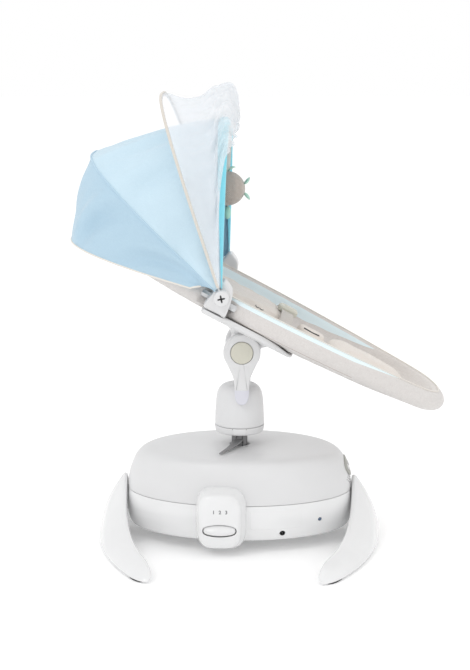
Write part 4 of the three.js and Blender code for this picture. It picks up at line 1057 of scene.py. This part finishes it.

# %% [markdown]
# ## Brackets and bosses
# On each side a tapering bracket stands on the saddle and carries the boss the canopy turns on. A black cross in
# the middle of the boss is painted shade, standing for the dark inside of a cross recess.

# %% Brackets
pivot_x, pivot_z = -0.06453, 0.51198
bracket_shape = [(-1, 26), (6, 27), (10, 23), (16.5, 14), (19, 6), (18.5, -4), (15.5, -14), (11, -27), (6, -38),
                 (1, -39), (-8, -33), (-27, -24), (-33, -19), (-32.5, -14), (-25, -4), (-17, 5), (-13, 12), (-7, 19)]
outline = through(bracket_shape, 120, True) * MM + (pivot_x, pivot_z)
for side, word in ((-1, "near"), (1, "far")):
    plate(f"bracket_{word}", outline, side * 0.193, side * 0.151, 0.0035, "white_satin", dome=0.001, body="seat",
          replaces=(f"canopy_bracket_{word}",), slot="white_satin", sharp=60)
    disc = [(0, 0.2195), (0.004, 0.2195), (0.009, 0.2188)] + rounded(0.0022, (0.0115, 0.2165), 80, 0, 5) + \
           [(0.0137, 0.213), (0.0137, 0.176), (0, 0.176)]
    spun(f"boss_{word}", [(r, side * y) for r, y in disc], "white_satin", (pivot_x, 0, pivot_z), "Y", 96,
         body="seat", replaces=(f"canopy_boss_{word}",), slot="white_satin", sharp=50)
    # Two thin black bars on the boss's face: painted shade for the dark inside of its cross recess
    for turn in (12, 102):
        c, s = math.cos(math.radians(turn)), math.sin(math.radians(turn))
        bar = [(pivot_x + a * c - b * s, pivot_z + a * s + b * c) for a, b in
               ((-0.0058, -0.0013), (0.0058, -0.0013), (0.0058, 0.0013), (-0.0058, 0.0013))]
        plate(f"boss_recess_shade_{word}_{turn}", through(bar, 40, True), side * 0.2199, side * 0.2185, 0.0002,
              "black_plastic", body="seat")
print("carrier, brackets and bosses")

# %% [markdown]
# ## The sling
# The seat itself is cloth stretched over an oval tube. One shell stands for the padded cloth: up the outside, over
# the tube inside its sleeve, over the rim and down the lining. A pale stripe runs under the rim on the outside and
# just inside it on the inside, and both run out to a point before the foot end, so the loops of the shell are laid
# to follow those edges.

# %% Sling
rim_keys = [(377, 0), (368, 44), (334, 80), (235, 110), (130, 134), (0, 150), (-150, 148), (-268, 122), (-333, 74)]
rim_line = through(rim_keys + [(-353, 0)] + [(u, -y) for u, y in rim_keys[:0:-1]], 240, True) * MM
rim_out = out_of(rim_line)
rim_arc = run_along(rim_line)
# How far the sleeve bulges: nothing where the brackets stand
bracket_u, bracket_half, fade = -0.091, 0.027, 0.007
bulge = np.clip((np.abs(rim_line[:, 0] - bracket_u) - bracket_half) / fade, 0, 1)
bulge = np.where(np.abs(rim_line[:, 1]) < 0.1, 1, bulge * bulge * (3 - 2 * bulge))
stripe = 0.0155 * np.clip((0.285 - rim_line[:, 0]) / 0.1, 0, 1) ** 0.6 + 1e-5
lining_stripe = 0.021 * np.clip((0.25 - rim_line[:, 0]) / 0.16, 0, 1) ** 0.6 + 1e-5
outer = through([(150, 104), (158, 102.5), (166, 97), (171, 88), (168.5, 77), (160, 68.6), (142, 63.2), (114, 54),
                 (85, 48), (55, 45), (12, 44.5)], 400) * MM
inner = through([(150, 104), (146.5, 102), (144, 96), (141, 86), (136, 76), (124, 65.5), (100, 58.5), (60, 55),
                 (12, 54.5)], 400) * MM


def along_wall(curve, run):
    """Place and height on a wall curve after some length of it, for each point of the rim."""
    lengths = run_along(curve)
    return np.interp(run, lengths, curve[:, 0]), np.interp(run, lengths, curve[:, 1]), lengths[-1]


crest_y, sling_middle = 0.150, (0.012, 0)


def wall_ring(curve, run):
    """One loop of the sling at a length from the crest that may differ from point to point."""
    y, w, _ = along_wall(curve, run)
    share = np.minimum(y, crest_y) / crest_y
    out = np.maximum(y - crest_y, 0) * bulge
    flat = sling_middle + (rim_line - sling_middle) * share[:, None] + rim_out * out[:, None]
    pull = 0.0008 * np.sin(rim_arc * 95 + 3 * np.sin(rim_arc * 17)) * np.clip(run / 0.03, 0, 1)
    return on_seat(flat[:, 0], flat[:, 1], w + pull * (share < 0.97))


ones = np.ones(len(rim_line))
outer_length, inner_length = along_wall(outer, 0)[2], along_wall(inner, 0)[2]
inner_edge = 0.0065
below = inner_edge + lining_stripe
# Each loop's wall, its length from the crest and its finish: 0 outside, 1 stripe, 2 lining
plan = [(outer, stripe + (outer_length - stripe) * share, 0) for share in np.linspace(1, 0, 26)]
plan += [(outer, stripe * share, 1) for share in (0.66, 0.33, 0)]
plan += [(inner, ones * run, 2) for run in (0.003, inner_edge)]
plan += [(inner, inner_edge + lining_stripe * share, 1) for share in (0.33, 0.66, 1)]
plan += [(inner, below + (inner_length - inner_edge - lining_stripe) * share, 2)
         for share in np.linspace(0, 1, 26)[1:]]
loops = [wall_ring(curve, run) for curve, run, _ in plan]
loop_finish = [finish for _, _, finish in plan]
threads = [-run if curve is outer else run for curve, run, _ in plan]
loop_threads = [np.column_stack([rim_arc + 0 * t, t]) for t in threads]
sling = lofted("sling", loops, "seat_outer", body="seat", replaces=("seat_sling",), slot="seat_cloth",
               cloth=with_ends(loop_threads), sharp=70)
for name in ("seat_stripe", "seat_inner"):
    sling.data.materials.append(finishes[name])
# After the loops come the outer cap and the inner one
for polygon in sling.data.polygons:
    polygon.material_index = (loop_finish + [0, 2])[polygon.index // len(rim_line) + 1]

piping_path = wall_ring(outer, ones * 0.0) + up_seat * 0.0008
rod("rim_piping", piping_path, 0.0015, "piping", 8, True, body="seat")
# A darker thread line along the sleeve's hem on each side: a seam, and in part painted shade for the shadow under the
# hem
sleeve_path = wall_ring(outer, ones * 0.052)
for side, word in ((-1, "near"), (1, "far")):
    seam = [i for i, (u, y) in enumerate(rim_line) if y * side > 0 and -0.05 < u < 0.2]
    rod(f"sleeve_seam_and_shade_{word}", sleeve_path[seam], 0.0006, "thread", 8, body="seat")
print("sling", len(sling.data.vertices), "points")

# %% [markdown]
# ## Cushions
# Each cushion starts as a flat bag, is blown up a little by a short cloth simulation, and is then smoothed. The
# growth is held to a few millimetres, so it keeps the size it was cut to. The body cushion is broad at the head and
# waisted below it; the leg cushion is smaller; a small pad stands between the legs.

# %% Stuffed pieces
def cushion(name, shape, floor, height, finish, node, growth, arch):
    """shape is a list of u and half width, which starts and ends in the middle; the bag lies on the lining at floor
    and is height thick."""
    ring = through(shape + [(u, -y) for u, y in shape[-2:0:-1]], 96, True) * MM
    middle = np.array([(ring[:, 0].min() + ring[:, 0].max()) / 2, 0])
    rings = []
    for turn in np.radians(np.linspace(-82, 82, 11)):
        share = 1 - (1 - math.cos(turn)) * 0.28
        w = floor + height / 2 * (1 + math.sin(turn))
        flat = middle + (ring - middle) * share
        rings.append(on_seat(flat[:, 0], flat[:, 1], w + arch * (1 - (flat[:, 1] / np.abs(ring[:, 1]).max()) ** 2)))
    bag = lofted(name, rings, finish, body=None, sharp=180)
    remesh = bag.modifiers.new("even", "REMESH")
    remesh.mode, remesh.voxel_size = "VOXEL", 0.005
    before = np.array([v.co for v in settled(bag).vertices])
    after = before
    blow = bag.modifiers.new("blow", "CLOTH")
    blow.settings.use_pressure, blow.settings.uniform_pressure_force = True, 4.0
    blow.settings.effector_weights.gravity = 0
    blow.settings.quality, blow.settings.mass = 5, 0.3
    for frame_number in range(1, 16):
        bpy.context.scene.frame_set(frame_number)
    blown = bag.evaluated_get(bpy.context.evaluated_depsgraph_get())
    after = np.array([v.co for v in blown.data.vertices])
    bag.modifiers.clear()
    bpy.context.scene.frame_set(1)
    move = after - before
    size = np.linalg.norm(move, axis=1)[:, None]
    move *= np.minimum(1, growth / np.maximum(size, 1e-9))
    print(name, "moved by the simulation, mm: mean", round(float(size.mean()) / MM, 2), "most",
          round(float(size.max()) / MM, 2), "kept at most", growth / MM)
    for vertex, co in zip(bag.data.vertices, before + move):
        vertex.co = co
    bag.modifiers.new("finer", "SUBSURF").levels = 1
    fine = settled(bag)
    points = np.array([v.co for v in fine.vertices])
    u = (points[:, 0] - seat_x) * math.cos(lean) - (points[:, 2] - seat_z) * math.sin(lean)
    # Shallow creases run in from the edge
    crease = 0.0009 * np.sin(u * 130 + 4 * np.sin(points[:, 1] * 60)) * np.clip(np.abs(points[:, 1]) / 0.05, 0, 1)
    points += crease[:, None] * up_seat
    fine.vertices.foreach_set("co", points.ravel())
    lay_threads(bag, np.column_stack([u, points[:, 1]]))
    if not fine.materials:
        fine.materials.append(finishes[finish])
    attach(bag, "seat")
    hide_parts(node)
    return bag


body_shape = [(64, 0), (58, 44), (20, 66), (-40, 76), (-95, 86), (-150, 96), (-205, 94), (-250, 72), (-270, 0)]
leg_shape = [(310, 0), (300, 34), (262, 52), (205, 62), (158, 60), (146, 36), (142, 0)]
crotch_shape = [(136, 0), (133, 22), (106, 32), (80, 24), (76, 0)]
lining_w = 0.0577
body_cushion = cushion("body_cushion_cover", body_shape, lining_w, 0.034, "cushion", "body_cushion", 0.005, 0.004)
cushion("leg_cushion_cover", leg_shape, lining_w, 0.033, "cushion", "leg_cushion", 0.005, 0.006)
crotch_pad = cushion("crotch_pad_cover", crotch_shape, lining_w, 0.032, "cushion", "crotch_pad", 0.003, 0.004)

# %% [markdown]
# ## Belts and small marks
# The waist belt comes up from the sides of the body cushion to the buckle. A black line on the pad is painted shade
# for the gap beneath its edge, and two small stitched arcs, like closed eyes, decorate the near edge of the cushion.

# %% Belts
def ribbon(name, path, across, half_width, thickness, finish, body, replaces=(), slot=None):
    """A flat band along a path; across is the direction of its width."""
    path, across = np.array(path, float), np.array(across, float)
    steps = np.gradient(path, axis=0)
    up = np.cross(steps, across)
    up /= np.linalg.norm(up, axis=1)[:, None]
    side = np.cross(up, steps)
    side /= np.linalg.norm(side, axis=1)[:, None]
    rings = [[p + s * a * half_width + n * b * thickness / 2 for a, b in
              ((-1, -0.6), (-0.94, -1), (0, -1), (0.94, -1), (1, -0.6), (1, 0.6), (0.94, 1), (0, 1), (-0.94, 1),
               (-1, 0.6))] for p, s, n in zip(path, side, up)]
    run = run_along(path)
    width = np.array([-1, -0.94, 0, 0.94, 1, 1, 0.94, 0, -0.94, -1]) * half_width
    threads = [np.column_stack([np.full(10, r), width]) for r in run]
    piece = lofted(name, rings, finish, body=body, replaces=replaces, slot=slot,
                   cloth=with_ends(threads), sharp=40)
    piece["run"] = float(run[-1])
    return piece


for side, word in ((-1, "near"), (1, "far")):
    keys = [(44, 15, 104), (44, 30, 104.5), (44, 52, 102.5), (44, 80, 96), (44, 108, 88.5), (44, 134, 80)]
    path = through([(u, side * y, w) for u, y, w in keys], 28) * MM
    belt = ribbon(f"waist_belt_{word}_band", on_seat(*path.T), along_seat, 0.0125, 0.0014, "belt", "seat",
                  (f"waist_belt_{word}",), "belt_cloth")


def laid_on(piece, points, lift):
    """The given places moved to the nearest part of a piece's surface, and a little out of it."""
    laid = []
    for point in points:
        _, spot, normal, _ = piece.closest_point_on_mesh(Vector(point))
        laid.append(spot + normal * lift)
    return laid


# A black rod laid along the pad's edge: painted shade for the shadowed gap beneath it
gap_shade_line = through([(86, -20, 96), (102, -22, 97), (120, -20, 96)], 24) * MM
rod("pad_gap_shade", laid_on(crotch_pad, on_seat(*gap_shade_line.T), 0.0004), 0.0014, "black_plastic", 10, body="seat")
for i, u in enumerate((-16, -6)):
    arc = [(u + 4 * math.cos(t), -62 - 3.5 * math.sin(t), 100) for t in np.linspace(0, math.pi, 9)]
    arc = np.array(arc) * MM
    rod(f"eye_arc_{i + 1}", laid_on(body_cushion, on_seat(*arc.T), 0.0003), 0.0006, "black_plastic", 8, body="seat")
print("belts and stitching")

# %% [markdown]
# ## The canopy's arches
# The canopy is a fan of cloth on three bows that all turn about the bosses. Every row of cloth is an arch, given by
# the angle it stands at, how high it rises and how wide it is, so a panel is a smooth run of arches. Folds are waves
# along the cloth that die away at the bows, and each panel is one continuous thin sheet.

# %% Arches and sheets of cloth
hub_u, hub_w = -90.7, 102.7  # the bosses' axis, in millimetres along the seat and up from it
hub = on_seat(hub_u * MM, 0, hub_w * MM)


def arch(angle, rise, half, start, count):
    """Places along an arch, from the far side to the near one, beginning at some height."""
    first = math.asin(min(1, (start / rise) ** 1.5))
    turn = np.linspace(first, math.pi - first, count)
    even = through([(math.cos(t), math.sin(t)) for t in turn], count)
    c, s = even[:, 0], np.maximum(even[:, 1], 0)
    high = rise * s ** (2 / 3)
    y = half * np.sign(c) * np.abs(c) ** (2 / 3)
    a = math.radians(angle)
    return on_seat((hub_u + high * math.cos(a)) * MM, y * MM, (hub_w + high * math.sin(a)) * MM)


def off_cloth(grid):
    """The unit normal at each place of a grid, facing away from the bosses' axis."""
    normal = np.cross(np.gradient(grid, axis=0), np.gradient(grid, axis=1))
    normal /= np.maximum(np.linalg.norm(normal, axis=2), 1e-9)[..., None]
    return -normal if np.sum(normal * (grid - hub)) < 0 else normal


def cloth_sheet(name, grid, thick, finish, inside=None, **facts):
    """A thin closed sheet over a grid of places; inside is the finish of its inner face."""
    grid = np.array(grid)
    rows, columns = grid.shape[:2]
    half = off_cloth(grid) * thick / 2
    points = np.concatenate([(grid + half).reshape(-1, 3), (grid - half).reshape(-1, 3)])
    n = rows * columns
    faces = ring_faces(rows, columns, False)
    faces += [tuple(n + i for i in face[::-1]) for face in faces]
    edge = [j for j in range(columns)] + [i * columns + columns - 1 for i in range(1, rows)]
    edge += [(rows - 1) * columns + j for j in range(columns - 2, -1, -1)]
    edge += [i * columns for i in range(rows - 2, 0, -1)]
    faces += [(a, b, n + b, n + a) for a, b in zip(edge, edge[1:] + edge[:1])]
    long = run_along(grid[rows // 2])
    down = run_along(grid[:, columns // 2])
    threads = np.stack(np.meshgrid(down, long, indexing="ij"), -1).reshape(-1, 2)
    piece = mesh_piece(name, points, faces, finish, cloth=np.vstack([threads, threads]), sharp=80, **facts)
    if inside:
        piece.data.materials.append(finishes[inside])
        for polygon in piece.data.polygons[(rows - 1) * (columns - 1):2 * (rows - 1) * (columns - 1)]:
            polygon.material_index = 1
    a, b = grid[1:, 1:] - grid[:-1, :-1], grid[1:, :-1] - grid[:-1, 1:]
    area = np.linalg.norm(np.cross(a, b), axis=2).sum() / 2
    width = float(long[-1])
    return piece, (width, float(area / width))


def panel(keys, half, rows, columns, folds):
    """A grid of arches through (angle, rise, start) keys, with folds added along its normal."""
    grid = np.array([arch(a, r, half, s, columns) for a, r, s in through(keys, rows)])
    across, along = np.meshgrid(np.linspace(0, 1, rows), np.linspace(0, 1, columns), indexing="ij")
    return grid + off_cloth(grid) * folds(across, along)[..., None]


def rear_folds(p, q):
    free = np.sin(math.pi * p) ** 0.8
    side = np.abs(q - 0.5) * 2
    fan = 0.009 * np.sin(15 * side - 7 * p + 1.5 * np.sin(9 * q)) + 0.004 * np.sin(34 * side - 11 * p)
    return free * (fan * np.clip(1.3 - side, 0.3, 1) * np.clip(2.4 * side, 0.2, 1) - 0.004)


def front_folds(p, q):
    free = np.sin(math.pi * p) ** 0.8
    side = np.abs(q - 0.5) * 2
    fan = 0.0045 * np.sin(19 * side + 2 * np.sin(7 * q + 3 * p)) + 0.002 * np.sin(41 * side + 4 * p)
    return free * (fan - 0.001)


def net_folds(p, q):
    free = np.clip(p * 5, 0, 1)
    side = np.abs(q - 0.5) * 2
    return free * (0.004 * np.sin(34 * side + 4 * p + np.sin(11 * q)) + 0.0022 * np.sin(71 * side - 6 * p))


net = Finish("net_cloth", Sheen_Weight=0.3, Specular_IOR_Level=0.2)
cloth, (u, v, _) = net.along()
holes = ((u * 3600).sine() * (v * 3600).sine()).ramp(-0.2, 0.6)
cloud = net.noise(cloth, 12, 3)
net.feed(Base_Color=net.blend(cloud, (0.93, 0.93, 0.94), (0.86, 0.87, 0.9)))
net.feed(Roughness=0.8 + cloud * 0.1, Alpha=0.24 + holes * 0.18 + cloud * 0.12)
finishes["net_cloth"] = net.material
woven("net_hem", (0.7, 0.66, 0.61), (0.6, 0.56, 0.5), 0.0012, 0.00015)
woven("knit", (0.54, 0.48, 0.43), (0.38, 0.33, 0.29), 0.0042, 0.0007, heather=0.6, sheen=0.7, roughness=0.95)
woven("mint_knit", (0.5, 0.78, 0.66), (0.38, 0.66, 0.55), 0.003, 0.0004, heather=0.5, sheen=0.6)

# %% [markdown]
# ## Canopy panels
# The rear panel joins the seat to the rear bow and the front panel joins the rear bow to the front one. A bright
# binding folds over the front edge, pale piping runs along the lower hem, and a darker lining shows inside the
# mouth.

# %% Panels, binding and piping
def off_bow(angle, distance):
    """A place over the pivots, off the plane of the bow at that angle by a distance towards the head."""
    a = math.radians(angle)
    return on_seat(hub_u * MM - distance * math.sin(a), 0, hub_w * MM + distance * math.cos(a))


cloth_half = 199.6
rear_grid = panel([(191, 306, 60), (181, 322, 44), (172, 337, 30), (163.5, 351, 18)], cloth_half, 56, 150, rear_folds)
rear, flat = cloth_sheet("rear_panel", rear_grid, 0.0011, "canopy_rear", "inner_slate",
                         replaces=("canopy_rear_panel",), slot="canopy_cloth")
off_bow(163.5, 0.141)
off_bow(163.5, 0)
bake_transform(rear)
front_grid = panel([(163.5, 351, 18), (151, 323, 18), (138, 310, 18), (127, 306, 18), (117.2, 309, 18)], cloth_half,
                   72, 150, front_folds)
front, flat = cloth_sheet("front_panel", front_grid, 0.0011, "canopy_front", "inner_slate",
                          replaces=("canopy_front_panel",), slot="canopy_cloth")
off_bow(140.4, 0.085)
off_bow(140.4, -0.085)
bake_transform(front)

binding_keys = [(119.4, 311.3), (118.2, 311.6), (116.9, 311.4), (116.0, 309.5), (115.7, 306), (115.8, 301.5),
                (116.6, 299.4), (118, 298.8), (119.4, 298.8)]
binding_grid = [arch(a, r, 199.9 - (311.5 - r) * 0.75, 16, 150) for a, r in through(binding_keys, 26)]
binding, flat = cloth_sheet("front_binding", binding_grid, 0.0009, "cyan_trim", body="front_bow")

rod("rear_hem_piping", arch(191.2, 306.6, 200.0, 58, 120), 0.0016, "piping", 8, body="seat")
for end, word in ((-1, "near"), (0, "far")):
    rod(f"lower_piping_{word}", rear_grid[:22, end], 0.0019, "piping", 8, body="seat")
rod("rear_bow_piping", arch(163.5, 352.6, 200.6, 16, 150), 0.0016, "canopy_rear", 8, body="rear_bow")
print("canopy", len(rear.data.vertices) + len(front.data.vertices), "points")

# %% [markdown]
# ## The net
# A fine white net hangs from the third bow over the mouth. Its threads are too small to draw, so the finish lets
# part of the light through in a tiny grid. It billows as it leaves the bow, and pale piping covers the bow.

# %% Net
net_keys = [(136, 378.8, 24), (131, 357, 24), (126, 352, 26), (121.5, 364, 60), (118.6, 372, 190), (116, 371, 250),
            (114, 340, 262), (114.5, 314, 262)]
net_grid = panel(net_keys, 208.2, 70, 160, net_folds)
net_piece, flat = cloth_sheet("net_sheet", net_grid, 0.0006, "net_cloth", replaces=("mosquito_net",),
                              slot="net_cloth")
off_bow(136, -0.118)
off_bow(136, 0)
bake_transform(net_piece)
rod("net_bow_piping", arch(136, 377.5, 208.0, 20, 150), 0.0028, "net_hem", 10, body="net_bow")
print("net", len(net_piece.data.vertices), "points")

# %% [markdown]
# ## The hanging toy
# A knitted ball hangs on a short strap from the front bow, with a leaf on top, a small fin at the front and a bead
# below on a string.

# %% Toy
toy_low, toy_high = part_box("toy_plush")
ball = (toy_low + toy_high) / 2 - Vector((0.008, 0, 0))
radius = (toy_high.z - toy_low.z) / 2
rings, threads = [], []
for polar in np.radians(np.linspace(3, 177, 60)):
    turn = np.arange(96) * 2 * math.pi / 96
    rib = 1 + 0.012 * np.cos(turn * 12) * math.sin(polar) ** 2
    r = radius * 0.985 * math.sin(polar) * rib
    rings.append(np.column_stack([ball.x + r * np.cos(turn), ball.y + r * 0.97 * np.sin(turn),
                                  np.full(96, ball.z + radius * 0.97 * math.cos(polar))]))
    threads.append(np.column_stack([turn * radius, np.full(96, polar * radius)]))
plush = lofted("plush_ball", rings, "knit", body="toy", replaces=("toy_plush",), slot="toy_cloth",
               cloth=with_ends(threads), sharp=180)


def leaf(name, root, tip, width, thick, bend):
    """A small stuffed leaf from root to tip."""
    root, tip, bend = Vector(root), Vector(tip), Vector(bend)
    up = (tip - root).cross(Vector((0, 1, 0))).normalized()
    rings, threads = [], []
    for share in np.linspace(0.02, 0.98, 18):
        middle = root.lerp(tip, share) + bend * math.sin(math.pi * share)
        half = width * math.sin(math.pi * share ** 0.8) ** 0.8
        loop = [middle + Vector((0, half * math.cos(t), 0)) + up * thick * (half / width + 0.1) * math.sin(t)
                for t in whole_turn(24)]
        rings.append([tuple(p) for p in loop])
        threads.append(np.column_stack([np.full(24, share * 0.03), np.linspace(0, 0.04, 24)]))
    piece = lofted(name, rings, "mint_knit", body="toy", slot="mint", cloth=with_ends(threads), sharp=180)
    return piece


leaf("leaf_near", (ball.x, -0.002, toy_high.z - 0.003), (ball.x - 0.016, -0.01, toy_high.z + 0.007), 0.008, 0.0022,
     (0, 0, 0.004))
leaf("leaf_far", (ball.x, 0.002, toy_high.z - 0.003), (ball.x + 0.016, 0.008, toy_high.z + 0.006), 0.008, 0.0022,
     (0, 0, 0.004))
leaf("fin_upper", (ball.x + radius * 0.93, 0, ball.z + 0.008), (ball.x + radius + 0.009, 0, ball.z + 0.022), 0.01,
     0.003, (0.001, 0, 0))
leaf("fin_lower", (ball.x + radius * 0.93, 0, ball.z - 0.008), (ball.x + radius + 0.009, 0, ball.z - 0.022), 0.01,
     0.003, (0.001, 0, 0))
strap_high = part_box("toy_strap")[1]
strap_path = [(ball.x + 0.0015 * math.sin(4 * s), 0, strap_high.z + (toy_high.z - 0.001 - strap_high.z) * s)
              for s in np.linspace(0, 1, 24)]
strap = ribbon("toy_strap_band", strap_path, (1, 0, 0), 0.006, 0.0014, "piping", "toy", ("toy_strap",), "toy_cloth")
bead_low, bead_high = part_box("toy_bead")
half = (bead_high.z - bead_low.z) / 2
spun("bead", [(0, half)] + [(0.0065 * math.sin(t) ** 0.8, half * math.cos(t)) for t in
                            np.linspace(0.12, math.pi - 0.12, 24)] + [(0, -half)], "mint",
     (ball.x, 0, bead_low.z + half), "Z", 48, body="toy", replaces=("toy_bead",), slot="mint")
rod("bead_string", [(ball.x, 0, z) for z in np.linspace(toy_low.z + 0.002, bead_high.z - 0.002, 8)], 0.0009,
    "piping", 8, body="toy")
print("toy ready")

# %% [markdown]
# ## Pieces that keep their own shape
# Gears, bearings, the board and other small hard pieces already have the right shape in the frame, so they only
# need the right finish in their material slot.

# %% Finishes for the pieces of the frame
slot_finishes = {entry["node"]: entry["material_slot"] for entry in frame["record"]["subparts"]}
slot_finishes["buckle"] = "beige_plastic"
cloth_finishes = {"seat_cloth": "seat_outer", "cushion_cloth": "cushion", "canopy_cloth": "canopy_rear",
                  "net_cloth": "piping", "belt_cloth": "belt", "toy_cloth": "piping"}
for node, piece in frame["nodes"].items():
    wanted = slot_finishes[node]
    piece.material_slots[0].material = finishes[cloth_finishes.get(wanted, wanted)]
print("pieces of the frame", len(frame["nodes"]))

# %% [markdown]
# ## Floor and finish
# The floor is a plain pale sheet, which only has to take soft contact shadows. The last lines print the box round
# everything that is drawn, apart from the floor.

# %% Floor
floor_finish = Finish("floor", Roughness=0.9, Emission_Color=(1, 1, 1, 1), Emission_Strength=0.12)
floor_finish.feed(Base_Color=floor_finish.blend(floor_finish.noise(floor_finish.place(), 3), (0.93, 0.93, 0.93),
                                                (0.945, 0.945, 0.945)))
finishes["floor"] = floor_finish.material
floor = mesh_piece("floor", [(-15, -15, 0), (15, -15, 0), (15, 15, 0), (-15, 15, 0)], [(0, 1, 2, 3)], "floor")
floor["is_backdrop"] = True

# %% Sizes
low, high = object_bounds()
print("visual box", [round(v, 3) for v in (*low, *high)])
